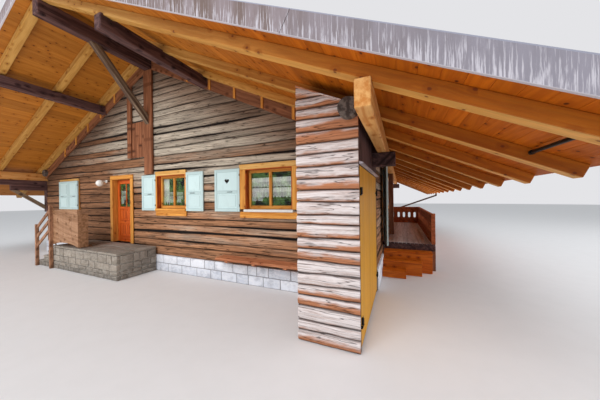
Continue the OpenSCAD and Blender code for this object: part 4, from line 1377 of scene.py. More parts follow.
@dataclass
class SlabWall(Assembly):
    """Half-round log slabs that clad the corner store's front and its left side."""

    pitch: float = 0.153
    thick: float = 0.05
    step: float = 0.06
    rows: int = 9

    def joint(self, i: int, x: float, seed: float) -> float:
        """Joint under a slab.

        Args:
            i: Number of the slab.
            x: Distance along the face.
            seed: Number of the face.

        Returns:
            Its height.
        """
        if i == 0:
            return 0.005
        slow = rough(0.020, x * 1.1, i * 5.9, seed) + rough(0.005, x * 5.0, i * 5.9, seed + 3)
        return self.pitch * i + slow + rough(0.030, 0.5, i * 2.3, seed + 8)

    def face(self, form: Form, x0: float, x1: float, top: Callable[[float], float], seed: float) -> None:
        """Add the slabs of one face.

        Args:
            form: Receives them, in the face's own frame with its surface at Y = 0.
            x0: Left end.
            x1: Right end.
            top: Height of the upper end at a distance along the face.
            seed: Number of the face, for its unevenness.
        """
        count = max(2, round((x1 - x0) / self.step))
        levels = [(j / (self.rows - 1), False) for j in range(self.rows)] + [(1.0, True), (0.0, True)]
        for i in range(math.ceil(max(top(x0), top(x1)) / self.pitch)):
            reach = form.draw.uniform(-0.004, 0.004)
            rings = []
            for k in range(count + 1):
                x = x0 + (x1 - x0) * k / count + (reach if k in (0, count) else 0.0)
                z0 = min(self.joint(i, x, seed) + 0.002, top(x) - 0.03)
                z1 = max(min(self.joint(i + 1, x, seed) - 0.002, top(x)), z0 + 0.006)
                ring = []
                for v, is_back in levels:
                    bulge = 1 - math.sqrt(max(0.0, 1 - (2 * v - 1) ** 2 * 0.93))
                    lump = rough(0.010, x * 3.2, v * 1.6, i * 4.4 + seed)
                    chop = rough(0.0035, x * 14.0, v * 5.0, i * 4.4 + seed)
                    y = self.thick if is_back else max(0.0, 0.006 + bulge * 0.036 + lump + chop)
                    z = z0 + (z1 - z0) * v
                    ring.append((Vector((x, y, z)), Vector((x, z, y)), Vector((x, 0, 2 * v - 1))))
                rings.append(ring)
            form.skin(rings)

    def make(self) -> None:
        """Make the slabs and the boards behind them."""
        p, t = PLAN, self.thick
        left, front = p.store_x - t, -p.half_d - p.store_d
        form = Form(51, Matrix.Translation((0, front, 0)))

        def under(x: float) -> float:
            """Height just under the rafters at a distance from the ridge line."""
            return p.rafter_z(x) - 0.002

        self.face(form, left, p.half_w, under, 2.0)
        form.matrix = Matrix(((0, 1, 0, left), (-1, 0, 0, -p.half_d), (0, 0, 1, 0), (0, 0, 0, 1)))
        self.face(form, 0.002, p.store_d - t, lambda _: under(p.store_x), 7.0)
        form.matrix = Matrix.Identity(4)
        form.mark = 1
        for x in (p.store_x + k * 0.152 for k in range(5)):
            a, b = x + 0.002, x + 0.15
            form.prism([(a, 0), (b, 0), (b, under(b)), (a, under(x))], (front + t, front + 2 * t), 0.002)
        for y in (front + 2 * t + k * 0.15 for k in range(9)):
            stop = min(y + 0.149, -p.half_d - 0.001)
            form.boxes(2, 0.002, (p.store_x, p.store_x + t, y + 0.001, stop, 0, under(p.store_x + t)))
        form.piece("store_slabs", "log_slab dark_wood", "log_slabs", "store_log_wall", crease=60)


@dataclass
class StoreRoom(Assembly):
    """Back walls, head boards, hinges and double doors of the corner store."""

    y0: float = -1.35 - 5.3
    y1: float = 0.62 - 5.3
    foot: float = 0.05
    head: float = 2.29
    leaf_h: float = 2.232
    ledge: float = 0.024
    boards: int = 6
    carried = (Carried(63, "store_hinges", "store_hinge_pins", "black_iron", "hinge_iron", 0.001, UPRIGHT),)

    def walls(self) -> None:
        """Make the board walls at the back and the house side."""
        p, form = PLAN, Form(61)
        front, top = -p.half_d, p.rafter_z(p.store_x + 0.08)
        for y in (front + k * 0.14 for k in range(5)):
            form.boxes(2, 0.004, (p.store_x + 0.001, p.store_x + 0.08, y + 0.001, y + 0.139, 0, top))
        for a in (p.store_x + 0.082 + k * 0.17 for k in range(4)):
            b = min(a + 0.168, p.half_w)
            outline = [(a, 0), (b, 0), (b, min(2.80, p.rafter_z(b))), (a, p.rafter_z(b) - 0.01)]
            form.prism(outline, (self.y1 + 0.001, front + p.store_back), 0.003)
        form.piece("store_back_boards", "dark_wood", "dark_timber", "store_walls")

    def head_boards(self) -> None:
        """Make the dark boards over the doors, their slit and the drip board."""
        form = Form(62)
        x, y0, y1, head = PLAN.half_w, self.y0, self.y1, self.head
        slit = (y0 + y1) / 2 + 0.06
        cuts = [y0 + 0.001, y0 + 0.42, y0 + 0.74, slit, slit + 0.026, slit + 0.36, y1 - 0.001]
        for a, b in zip(cuts, cuts[1:]):
            front = x - 0.032 if b - a < 0.05 else x - 0.001
            form.boxes(2, 0.003, (x - 0.06, front, a + 0.001, b - 0.001, head, 2.855))
        form.mark = 1
        drip = [(0.001, 0.004), (0.05, 0.004), (0.05, 0.022), (0.001, 0.04)]
        form.prism([(x + u, head + v) for u, v in drip], (y0 - 0.04, y1 + 0.04), 0.002)
        form.piece("store_head_boards", "dark_wood grey_board", "dark_timber", "store_head")

    def leaf(self, name: str, ya: float, yb: float, axis_y: float, toward: int) -> None:
        """Make one door leaf of upright boards on ledges.

        Args:
            name: Near or far.
            ya: Its near edge.
            yb: Its far edge.
            axis_y: Where its hinge axis stands.
            toward: 1 if the leaf reaches from its axis to the rear, else -1.
        """
        form = Form(70)
        x, z0, z1 = PLAN.half_w, self.foot, self.foot + self.leaf_h
        pitch = (yb - ya) / self.boards
        for k in range(self.boards):
            a, b = ya + k * pitch + 0.001, ya + (k + 1) * pitch - 0.001
            form.boxes(2, 0.003, (x - self.ledge, x, a, b, z0, z1))
        for z in (z0 + 0.2, (z0 + z1) / 2 - 0.06, z1 - 0.32):
            form.boxes(1, 0.003, (x - PLAN.leaf_t, x - self.ledge, ya + 0.02, yb - 0.02, z, z + 0.12))
        form.mark = 1
        for z in (z0 + self.leaf_h * share for share in (0.14, 0.86)):
            form.pin(x + 0.016, axis_y, z)
            a, b = sorted((axis_y + toward * 0.012, axis_y + toward * 0.11))
            form.boxes(1, 0.002, (x + 0.0005, x + 0.0055, a, b, z - 0.02, z + 0.02))
            for y in (axis_y + toward * (0.05 + 0.04 * k) for k in range(2)):
                form.log((x + 0.005, y, z), (x + 0.009, y, z), 0.008, 10, 0.01)
        node = "store_door_" + name
        form.piece(node + "_boards", "ochre_stain black_iron", "store_paint", node, "store_leaf_" + name)

    def make(self) -> None:
        """Make the store's walls, head and leaves."""
        self.walls()
        self.head_boards()
        middle = (self.y0 + self.y1) / 2
        self.leaf("near", self.y0 + 0.008, middle - 0.005, self.y0 + 0.022, 1)
        self.leaf("far", middle + 0.005, self.y1 - 0.008, self.y1 - 0.022, -1)


@dataclass
class Roof(Assembly):
    """Rafters, boarding, stone covering, verge boards and the trim under the rake."""

    board: float = 0.172
    courses: int = 20
    end: float = PLAN.verge - PLAN.verge_t
    covering: float = PLAN.rafter_v + PLAN.boarding_v
    carried = (
        *(
            Carried(81 + sign, "rafters_" + side, "rafter_row_" + side, "rafter_wood", "rafter_timber", 0.006,
                    (sign, 0, -SLOPE))
            for side, sign in (("left", -1), ("right", 1))
        ),
        Carried(142, "downpipes", "gutter_pipes", "brown_gutter", "gutter_metal", 0.0, UPRIGHT, 28.0),
    )

    def soffit(self, side: str, sign: int) -> None:
        """Make the soffit boards of one side, in lengths that meet over the rafters.

        Args:
            side: Left or right.
            sign: -1 for the left side, 1 for the right one.
        """
        form, length = Form(91 + sign), PLAN.eave_edge / COS
        count = round(length / self.board)
        pitch = length / count
        for x in ((k + 0.5) * pitch * COS for k in range(count)):
            z = PLAN.rafter_z(x) + PLAN.rafter_v + 0.0125 / COS
            cuts = [-self.end]
            while cuts[-1] < self.end - 3.0:
                cuts.append(cuts[-1] + 0.9836 * form.draw.choice((4, 5)))
            cuts[-1] = self.end
            for a, b in zip(cuts, cuts[1:]):
                ends = (sign * x, a + 0.0005, z), (sign * x, b - 0.0005, z)
                form.bar(*ends, pitch - 0.0008, 0.0245, (sign * SIN, 0, COS), 0.0025)
        form.piece("soffit_boards_" + side, "soffit_wood", "soffit_boards", "roof_boarding_" + side)

    def slabs(self, side: str, sign: int) -> None:
        """Make the stone slabs of one side in steps, over a dark underlay.

        Args:
            side: Left or right.
            sign: -1 for the left side, 1 for the right one.
        """
        p, form, low = PLAN, Form(101 + sign), self.covering
        run, reach = p.covering_edge / self.courses, p.covering_edge - 0.01
        form.mark = 1
        under = p.strip(sign, 0, reach, low + 0.001, low + p.covering_v - 0.044)
        form.prism(under, (0.001 - self.end, self.end - 0.001), 0.004, ALONG_Y)
        form.mark = 0
        for i in range(1, self.courses + 1):
            for y, stop in form.lengths(0.002 - self.end, self.end - 0.002, 0.26, 0.48, 0.2):
                xb = i * run - form.draw.uniform(0.0, 0.012)
                xa = max(0.004, (i - 1) * run - 0.05)
                za = p.rafter_z(xa) + low + p.covering_v - 0.032 - form.draw.uniform(-0.002, 0.002)
                zb = p.rafter_z(xb) + low + p.covering_v - 0.016
                a, b = ((sign * x, (y + stop) / 2, z) for x, z in ((xa, za), (xb, zb)))
                thick = form.draw.uniform(0.018, 0.024)
                form.bar(a, b, stop - y - 0.006, thick, (sign * SIN, 0, COS), 0.005, 0.2, 0.004)
        form.piece("roof_slabs_" + side, "roof_stone dark_wood", "roof_slabs", "roof_covering_" + side)

    def ridge(self) -> None:
        """Make the ridge slabs, laid in pairs along the ridge."""
        form, low = Form(111), self.covering + PLAN.covering_v
        y = 0.002 - self.end
        while y < self.end - 0.05:
            w = min(0.62, self.end - 0.002 - y)
            for sign in (-1, 1):
                a = (sign * 0.001, y + w / 2, PLAN.rafter_z(0) + low + 0.0135)
                b = (sign * 0.228, y + w / 2, PLAN.rafter_z(0.228) + low + 0.0125)
                form.bar(a, b, w - 0.004, 0.019, (sign * SIN, 0, COS))
            y += w
        form.piece("ridge_slabs", "roof_stone", "roof_slabs", "ridge_cap")

    def verges(self) -> None:
        """Make the verge boards in lengths that meet at slanted seams."""
        form, low = Form(121), PLAN.rafter_v
        high = low + 0.25
        cuts = (0.0, 2.72, 5.40, PLAN.eave_edge)
        lean = (0.0, *[SLOPE * (high - low) / 2] * 2, 0.0)
        for y0 in (-PLAN.verge, self.end):
            for sign in (-1, 1):
                for a, b, la, lb in zip(cuts, cuts[1:], lean, lean[1:]):
                    a, b = a + 0.0015, b - 0.0015
                    spots = [(a - la, low), (b - lb, low), (b + lb, high), (a + la, high)]
                    form.prism(PLAN.on_slope(sign, spots), (y0, y0 + PLAN.verge_t), 0.003)
        form.piece("verge_planks", "verge_board", "verge_wood", "verge_boards")

    def trim(self) -> None:
        """Make the reddish boards under the rake, with upright cleats over their joints."""
        form, front, drop = Form(131), -PLAN.half_d - 0.04, -0.26
        cleats = [11.8 * (0.125 + 0.0616 * i) for i in range(5)]
        for sign, end in ((1, PLAN.store_x - 0.051), (-1, PLAN.half_w)):
            cuts = [0.161, *(c + 0.03 for c in cleats), end]
            form.mark = 0
            for a, b in zip(cuts, cuts[1:]):
                board = PLAN.strip(sign, a + 0.001, b - 0.001, drop, PLAN.rafter_v - 0.002)
                form.prism(board, (front, -PLAN.half_d), 0.003, (sign, 0, -SLOPE))
            form.mark = 1
            for c in (c for c in cleats if c < end - 0.06):
                form.prism(PLAN.strip(sign, c, c + 0.06, drop + 0.015, -0.002), (front - 0.02, front), 0.003)
        form.piece("rake_trim", "red_wood frame_wood", "rafter_timber", "gable_trim")

    def gutters(self) -> None:
        """Make the gutters with their brackets."""
        form = Form(141)
        form.carry("gutters", 0.0, ALONG_Y)
        z = PLAN.rafter_z(PLAN.covering_edge) + self.covering + PLAN.covering_v - 0.030
        for x in (sign * (PLAN.covering_edge + 0.0683) for sign in (-1, 1)):
            for y in (-7.35 + k * 0.98 for k in range(16)):
                form.boxes(0, 0.001, (x - 0.068, x + 0.068, y, y + 0.025, z - 0.006, z - 0.001))
        form.piece("eave_gutters", "brown_gutter", "gutter_metal", "gutters", crease=20)

    def make(self) -> None:
        """Make the whole roof."""
        for side, sign in (("left", -1), ("right", 1)):
            self.soffit(side, sign)
            self.slabs(side, sign)
        self.ridge()
        self.verges()
        self.trim()
        self.gutters()


class Framing(Assembly):
    """Purlins, plate logs, posts, struts and corbels."""

    carried = (
        Carried(151, "purlins", "dark_purlins", "dark_wood", "dark_timber", 0.012, ALONG_Y),
        Carried(152, "eave_purlins", "eave_beams", "pale_wood", "purlin_timber", 0.008, ALONG_Y),
        Carried(154, "gable_posts", "gable_uprights", "red_wood", "red_wood", 0.008, UPRIGHT),
        Carried(155, "gable_boarding", "gable_boards", "red_wood", "red_wood", 0.004, UPRIGHT),
        Carried(156, "roof_braces", "roof_struts", "strut_wood", "dark_timber", 0.010),
        Carried(157, "purlin_supports", "corbels", "dark_wood", "dark_timber", 0.008, ALONG_Y),
    )

    def make(self) -> None:
        """Make the logs on the side walls."""
        form, x = Form(153), 5.8
        z = PLAN.rafter_z(x) - 0.125 * 1.105 + 0.03
        for x, y in ((x, -6.85), (-x, -5.42)):
            form.log((x, y, z), (x, 5.62, z), 0.1235, 24, 0.25, 0.004)
        form.piece("plate_logs", "log_wood", "dark_timber", "wall_plates", crease=40)


@dataclass(frozen=True)
class Window:
    """One window: its wall, place, width, shutters and looks."""

    side: Side
    x: float
    width: float
    casing: float = 0.04
    shut: bool = False
    heart: bool = True
    lintel: bool = False
    lace: bool = True

    @property
    def edges(self) -> Spot:
        """Both sides of its opening."""
        return self.x - self.width / 2, self.x + self.width / 2


@dataclass
class Windows(Assembly):
    """Every window with its frame, panes, casing, shutters and curtains."""

    foot: float = PLAN.sill
    head: float = PLAN.sill + PLAN.window_h
    thick: float = 0.035
    steps: int = 36
    rows: tuple[Window, ...] = (
        Window(Side.FRONT, -4.22, 1.14, 0.04, True, False),
        Window(Side.FRONT, 0.83, 1.06, 0.04, False, False, False, False),
        Window(Side.FRONT, 3.78, 1.14, 0.15, False, True, True),
        Window(Side.LEFT, 2.12, 1.14),
        Window(Side.LEFT, 5.3, 1.14),
        Window(Side.LEFT, 8.48, 1.14),
        Window(Side.RIGHT, 5.5, 1.14, heart=False),
        Window(Side.RIGHT, 9.25, 1.06, heart=False),
        Window(Side.REAR, 2.36, 1.14),
        Window(Side.REAR, 5.9, 1.06, heart=False),
        Window(Side.REAR, 9.44, 1.14),
    )

    def frames(self, form: Form, w: Window) -> None:
        """Add one frame with its sashes and glazing bars.

        Args:
            form: Receives them.
            w: The window.
        """
        (a, b), x, sash, z0, z1 = w.edges, w.x, (0.09, 0.15), self.foot, self.head
        form.boxes(
            2, 0.004,
            (a + 0.001, a + 0.065, *sash, z0 + 0.001, z1 - 0.001),
            (b - 0.065, b - 0.001, *sash, z0 + 0.001, z1 - 0.001),
        )
        form.boxes(
            0, 0.004,
            (a + 0.066, b - 0.066, *sash, z0 + 0.001, z0 + 0.065),
            (a + 0.066, b - 0.066, *sash, z1 - 0.065, z1 - 0.001),
        )
        form.boxes(2, 0.004, (x - 0.0325, x + 0.0325, *sash, z0 + 0.066, z1 - 0.066))
        form.boxes(2, 0.006, (x - 0.016, x + 0.016, 0.080, 0.0895, z0 + 0.068, z1 - 0.068))
        for u0, u1 in ((a + 0.066, x - 0.0335), (x + 0.0335, b - 0.066)):
            for z in (z0 + 0.066, z1 - 0.078):
                form.boxes(0, 0.004, (u0, u1, 0.103, 0.1165, z, z + 0.012))

    def glass(self, form: Form, w: Window) -> None:
        """Add the panes of one window.

        Args:
            form: Receives them.
            w: The window.
        """
        (a, b), rim = w.edges, 0.0662
        for u0, u1 in ((a + rim, w.x - 0.0332), (w.x + 0.0332, b - rim)):
            form.boxes(0, 0.0006, (u0, u1, 0.1172, 0.1228, self.foot + rim, self.head - rim))

    def casings(self, form: Form, w: Window) -> None:
        """Add the boards round one window, with sill and lintel.

        Args:
            form: Receives them.
            w: The window.
        """
        (a, b), c, z0, z1 = w.edges, w.casing, self.foot, self.head
        full, board, lining = (a - c, b + c), (-0.03, 0.0), (-0.02, 0.0895)
        for mark, run, edge, *row in (
            (0, 2, 0.004, a - c, a - 0.001, *board, z0 + 0.001, z1 - 0.001),
            (0, 2, 0.004, b + 0.001, b + c, *board, z0 + 0.001, z1 - 0.001),
            (3, 2, 0.002, a + 0.0005, a + 0.018, *lining, z0 + 0.001, z1 - 0.019),
            (3, 2, 0.002, b - 0.018, b - 0.0005, *lining, z0 + 0.001, z1 - 0.019),
            (3, 0, 0.002, a + 0.0005, b - 0.0005, *lining, z1 - 0.018, z1 - 0.0005),
            (1, 0, 0.008, *full, *board, z1, z1 + 0.108),
            (1, 0, 0.004, *full, -0.042, -0.0305, z1 + 0.045, z1 + 0.109),
            (2 if w.lintel else 0, 0, 0.006, a - 0.03, b + 0.03, -0.062, 0.0895, z0 - 0.055, z0 - 0.001),
            (0, 0, 0.004, *full, *board, z0 - 0.19, z0 - 0.125),
            (0, 0, 0.004, *full, *board, z0 - 0.123, z0 - 0.057),
        ):
            form.mark = mark
            form.boxes(run, edge, row)

    def shutter(
        self, form: Form, place: Matrix, low: float, high: float, width: float, has_heart: bool = False
    ) -> None:
        """Add one shutter with hinge pins, their short plates and a latch.

        Args:
            form: Receives it.
            place: Its frame: X runs from its hinge, and its outer face lies at Y = 0.
            low: Its foot.
            high: Its top.
            width: Its width.
            has_heart: Whether a heart is cut through its upper field.
        """
        form.matrix, form.mark = place, 0
        stile, thick, sunk, rail = 0.062, self.thick, 0.008, 0.07
        form.boxes(2, 0.003, (0, stile, 0, thick, low, high), (width - stile, width, 0, thick, low, high))
        middle = low + (high - low) * 0.46
        feet = (low, middle - rail / 2, high - rail)
        a, b = stile + 0.0006, width - stile - 0.0006
        form.boxes(0, 0.003, *((a, b, 0, thick, z, z + rail) for z in feet))
        for z0, z1 in zip((z + rail for z in feet), feet[1:]):
            x0, x1, depth = stile + 0.001, width - stile - 0.001, (sunk, thick - sunk)
            outline = rectangle(x0, x1, z0 + 0.001, z1 - 0.001)
            if has_heart and z0 > middle:
                x, z, size = (x0 + x1) / 2, (z0 + z1) / 2, min(x1 - x0, z1 - z0) * 0.155
                self.pierced(form, outline, (x, z, size), depth)
                # Painted shade: a near-black plate behind the heart stands for the shadow seen through the
                # cut.
                form.mark = 2
                reach, back = size * 1.4, thick - sunk
                form.boxes(0, 0.001, (x - reach, x + reach, back, back + 0.004, z - reach, z + reach))
                form.mark = 0
            else:
                form.prism(outline, depth, 0.002, UPRIGHT)
                inner = rectangle(x0 + 0.04, x1 - 0.04, z0 + 0.04, z1 - 0.04)
                form.prism(inner, (sunk - 0.0055, sunk), 0.005, UPRIGHT)
        for z in (low + 0.13, high - 0.16):
            form.mark = 0
            form.boxes(0, 0.0012, (0.003, 0.055, -0.0035, -0.0004, z, z + 0.024))
            form.mark = 1
            form.log((0.0, -0.004, z - 0.012), (0.0, -0.004, z + 0.034), 0.007, 10, 0.05)
        x = width * 0.27
        form.boxes(0, 0.002, (x, x + 0.15, -0.010, -0.0004, middle - 0.006, middle + 0.004))
        form.log((x + 0.02, -0.014, middle), (x + 0.02, -0.009, middle), 0.008, 10, 0.02)

    def pierced(self, form: Form, outline: list[Spot], heart: Row, depth: Spot) -> None:
        """Add a board with a heart cut through it.

        Args:
            form: Receives it.
            outline: Its four corners.
            heart: Middle of the heart and half its width.
            depth: Its two faces.
        """
        (x0, z0), _, (x1, z1), _ = outline
        x, z, size = heart
        cut, rim = [], []
        for t in (2 * math.pi * k / self.steps for k in range(self.steps)):
            high = 13 * math.cos(t) - 5 * math.cos(2 * t) - 2 * math.cos(3 * t) - math.cos(4 * t)
            cut.append((x + math.sin(t) ** 3 * size, z + (high / 16 + 0.1) * size * 0.95))
            dx, dz = cut[-1][0] - x, cut[-1][1] - z
            grow = min(
                ((x1 if dx > 0 else x0) - x) / dx if abs(dx) > 1e-9 else 1e9,
                ((z1 if dz > 0 else z0) - z) / dz if abs(dz) > 1e-9 else 1e9,
            )
            rim.append((x + dx * grow, z + dz * grow))
        for corner in outline:
            near = min(range(self.steps), key=lambda i: (Vector(rim[i]) - Vector(corner)).length)
            rim[near] = corner
        work = bmesh.new()
        layout = zip((cut, rim, rim, cut), (depth[0], depth[0], depth[1], depth[1]))
        rows = [[work.verts.new((u, y, v)) for u, v in ring] for ring, y in layout]
        for near, far in zip(rows, [*rows[1:], rows[0]]):
            for k, j in enumerate([*range(1, self.steps), 0]):
                work.faces.new((near[k], near[j], far[j], far[k]))
        form.take(work, 0.0015, UPRIGHT)

    def shutters(self) -> None:
        """Make every shutter: shut, standing open against the wall, or half open."""
        form, move = Form(204), Matrix.Translation
        for w in self.rows:
            hinge = w.width / 2 + w.casing + 0.003
            for sign in (-1, 1):
                width, flip = hinge - 0.005, sign
                place = move((w.x + sign * hinge, -self.thick, 0))
                if w.shut:
                    width, flip = hinge - 0.006, -sign
                    place = move((w.x + sign * (hinge - 0.003), -0.065, 0))
                elif w.lintel and sign > 0:
                    place = move((w.x + 0.7203, -0.03, 0)) @ Matrix.Rotation(math.radians(-40.8), 4, "Z")
                place = w.side.value @ place @ Matrix.Diagonal((flip, 1, 1, 1))
                self.shutter(form, place, self.foot - 0.055, self.head + 0.035, width, w.heart and not w.shut)
        turn = Matrix.Diagonal((-1, 1, 1, 1)) @ Matrix.Rotation(math.radians(-10), 4, "Z")
        self.shutter(form, Side.RIGHT.value @ move((2.5697, -0.0348, 0)) @ turn, 0.70, 2.66, 0.77)
        form.piece("shutter_leaves", "mint_paint black_iron wall_gap", "shutter_paint", "window_shutters")

    def curtains(self) -> None:
        """Hang lace in two tiers, or two plain halves, behind every window that stands open."""
        for number, w in enumerate(self.rows):
            if w.shut:
                continue
            a, b = w.edges
            tiers, halves = ((0.08, 0.80),), ((a + 0.04, a + 0.25), (b - 0.25, b - 0.04))
            if w.lace:
                tiers = ((0.25, 0.47), (0.475, 0.695))
                halves = ((a + 0.02, w.x - 0.012), (w.x + 0.012, b - 0.02))
            for tier, (low, high) in enumerate(tiers):
                for half, (x0, x1) in enumerate(halves):
                    name = f"curtain_{number}_{tier if w.lace else ''}{half}"
                    z0, z1, seed = self.foot + low, self.foot + high, 300 + number * 4 + tier * 2 + half
                    Curtain(name, x0, x1, z0, z1, seed).hang(w.side)

    def make(self) -> None:
        """Make everything of the windows."""
        for seed, add, name, finishes, slot, node, crease in (
            (201, self.frames, "window_joinery", "frame_wood", "frame_wood", "window_frames", 32.0),
            (202, self.glass, "window_panes", "window_glass", "glass", "window_glass", 20.0),
            (203, self.casings, "window_surrounds", "frame_wood lintel_wood white_paint lining_wood",
             "frame_wood", "window_casings", 32.0),
        ):
            form = Form(seed)
            for w in self.rows:
                form.matrix = w.side.value
                add(form, w)
            form.piece(name, finishes, slot, node, crease=crease)
        self.shutters()
        self.curtains()


@dataclass
class Curtain:
    """Net curtain with soft upright folds, hung on a thin rod."""

    name: str
    x0: float
    x1: float
    z0: float
    z1: float
    seed: int
    fold: float = 0.009
    thick: float = 0.0012
    pitch: float = 0.062
    depth: float = 0.168
    wide: int = 64
    rows: int = 9

    def hang(self, side: Side) -> None:
        """Make the cloth and its rod.

        Args:
            side: Wall that it hangs behind.
        """
        form, wide, rows = Form(self.seed, side.value), self.wide, self.rows
        shift = form.draw.uniform(0, 9)
        line = []
        for x in (self.x0 + (self.x1 - self.x0) * k / wide for k in range(wide + 1)):
            sway = math.sin(2 * math.pi * x / self.pitch + shift + rough(1.6, x * 9, shift, 0))
            line.append((x, sway * self.fold))
        run = [0.0]
        for (xa, ya), (xb, yb) in zip(line, line[1:]):
            run.append(run[-1] + math.hypot(xb - xa, yb - ya))
        spots = []
        for back in (0.0, self.thick):
            for share in (j / rows for j in range(rows + 1)):
                z = self.z1 - (self.z1 - self.z0) * share
                for (x, y), s in zip(line, run):
                    point = Vector((x, self.depth + y + back, z))
                    spots.append((point, Vector((s, z, back)), Vector((0, 0, share))))
        n, top = wide + 1, (rows + 1) * (wide + 1)
        faces = []
        for a in (j * n + k for j in range(rows) for k in range(wide)):
            b = top + a
            faces += [(a, a + n, a + n + 1, a + 1), (b, b + 1, b + n + 1, b + n)]
        for a in range(wide):
            b = rows * n + a
            faces += [(a, a + 1, top + a + 1, top + a), (b + 1, b, top + b, top + b + 1)]
        for a in range(0, rows * n, n):
            b = a + wide
            faces += [(a + n, a, top + a, top + a + n), (b, b + n, top + b + n, top + b)]
        form.add(spots, faces, 0.5)
        rod, z = Form(self.seed + 500, side.value), self.z1 + 0.004
        rod.log((self.x0 - 0.004, self.depth, z), (self.x1 + 0.004, self.depth, z), 0.0045, 10, 0.1)
        rod.piece(self.name + "_rod", "black_iron", "hinge_iron")
        cloth = form.piece(self.name, "lace", "", crease=180)
        flat = (round(run[-1], 4), round(self.z1 - self.z0, 4))


@dataclass
class Door(Assembly):
    """Door in its lining and casing.

    Fields: the wall, its opening, how far the casing reaches past its sides and over its head, the
    width of the casing's eased edges, that of the stiles and the height of the handle.
    """

    side: Side
    x0: float
    x1: float
    z0: float
    z1: float
    out: float
    over: float
    edge: float
    stile: float
    handle: float
    lining: float = 0.05

    def surround(self, seed: int, name: str, node: str) -> None:
        """Make lining and casing.

        Args:
            seed: Start of the random draw.
            name: Name of the piece.
            node: Its CAD node.
        """
        form = Form(seed, self.side.value)
        x0, x1, z0, z1, t, out = self.x0, self.x1, self.z0, self.z1, self.lining, self.out
        inner, face = (0.0, PLAN.wall), (-0.03, -0.0005)
        for a, b in ((x0, x0 + t), (x1 - t, x1)):
            form.boxes(2, 0.004, (a + 0.001, b - 0.001, *inner, z0, z1))
        form.boxes(0, 0.004, (x0 + 0.001, x1 - 0.001, *inner, z1 + 0.001, z1 + 0.049))
        for a, b in ((x0 - out, x0 + t), (x1 - t, x1 + out)):
            form.boxes(2, self.edge, (a, b, *face, z0, z1))
        form.boxes(0, self.edge, (x0 - out, x1 + out, *face, z1 + 0.001, z1 + self.over))
        form.piece(name, "frame_wood", "frame_wood", node)

    def leaf_box(self) -> tuple[float, float, float, float]:
        """Limits of the leaf along X and Z."""
        return self.x0 + 0.058, self.x1 - 0.058, self.z0 + 0.007, self.z1 - 0.008

    def stiles(self, form: Form, edge: float) -> Spot:
        """Add the leaf's stiles.

        Args:
            form: Receives them.
            edge: Width of the eased edges.

        Returns:
            Where the rails between them start and end.
        """
        x0, x1, z0, z1 = self.leaf_box()
        depth = PLAN.leaf_y, PLAN.leaf_y + PLAN.leaf_t
        form.boxes(2, edge, (x0, x0 + self.stile, *depth, z0, z1), (x1 - self.stile, x1, *depth, z0, z1))
        return x0 + self.stile + 0.0006, x1 - self.stile - 0.0006

    def fittings(self, form: Form, has_key: bool) -> None:
        """Add the handle on its plate, the lock and the hinge barrels.

        Args:
            form: Receives them.
            has_key: Whether there is a lock.
        """
        x0, x1, z0, z1 = self.leaf_box()
        x, y, z = x1 - self.stile / 2, PLAN.leaf_y, self.handle
        form.boxes(2, 0.003, (x - 0.018, x + 0.018, y - 0.006, y - 0.0004, z - 0.14, z + 0.08))
        form.log((x, y - 0.045, z), (x, y - 0.005, z), 0.009, 12, 0.02)
        form.log((x - 0.11, y - 0.045, z), (x + 0.008, y - 0.045, z), 0.009, 12, 0.04)
        if has_key:
            form.log((x, y - 0.008, z - 0.09), (x, y - 0.004, z - 0.09), 0.007, 10, 0.02)
        for share in (0.14, 0.86):
            form.pin(x0 + 0.014, 0.171, z0 + (z1 - z0) * share)


class Entrance(Door):
    """Entrance door with panels and glazing, and the house's lamps."""

    carried = (
        Carried(213, "entrance_lamp", "lamp_globe", "opal_glass", "opal_glass", 0.0, None, 45.0),
        Carried(214, "tube_lamp", "tube_light", "black_iron", "hinge_iron", 0.0008, ALONG_Y, 28.0),
    )

    def make(self) -> None:
        """Make surround and leaf."""
        self.surround(211, "entrance_surround", "entrance_frame")
        form, y0, y1 = Form(212, self.side.value), PLAN.leaf_y, PLAN.leaf_y + PLAN.leaf_t
        a, b = self.stiles(form, 0.003)
        _, _, low, high = self.leaf_box()
        rails = ((low, low + 0.18), (1.20, 1.30), (1.62, 1.70), (high - 0.12, high))
        form.boxes(0, 0.003, *((a, b, y0, y1, *rail) for rail in rails))
        fields = [(lower[1], upper[0]) for lower, upper in zip(rails, rails[1:])]
        for z0, z1 in fields[:2]:
            form.boxes(2, 0.002, (a, b, y0 + 0.012, y1 - 0.012, z0 + 0.0006, z1 - 0.0006))
            form.boxes(2, 0.006, (a + 0.045, b - 0.045, y0 + 0.004, y0 + 0.0115, z0 + 0.045, z1 - 0.045))
        z0, z1 = fields[2][0] + 0.001, fields[2][1] - 0.001
        x = (a + b) / 2
        form.boxes(2, 0.003, (x - 0.014, x + 0.014, y0 + 0.004, y1 - 0.004, z0, z1))
        form.mark = 1
        for u0, u1 in ((a + 0.001, x - 0.015), (x + 0.015, b - 0.001)):
            form.boxes(0, 0.0006, (u0, u1, y0 + 0.019, y0 + 0.025, z0, z1))
        form.mark = 2
        self.fittings(form, True)
        finishes = "door_wood window_glass black_iron"
        form.piece("entrance_leaf_wood", finishes, "door_wood", "entrance_door", "entrance_leaf")


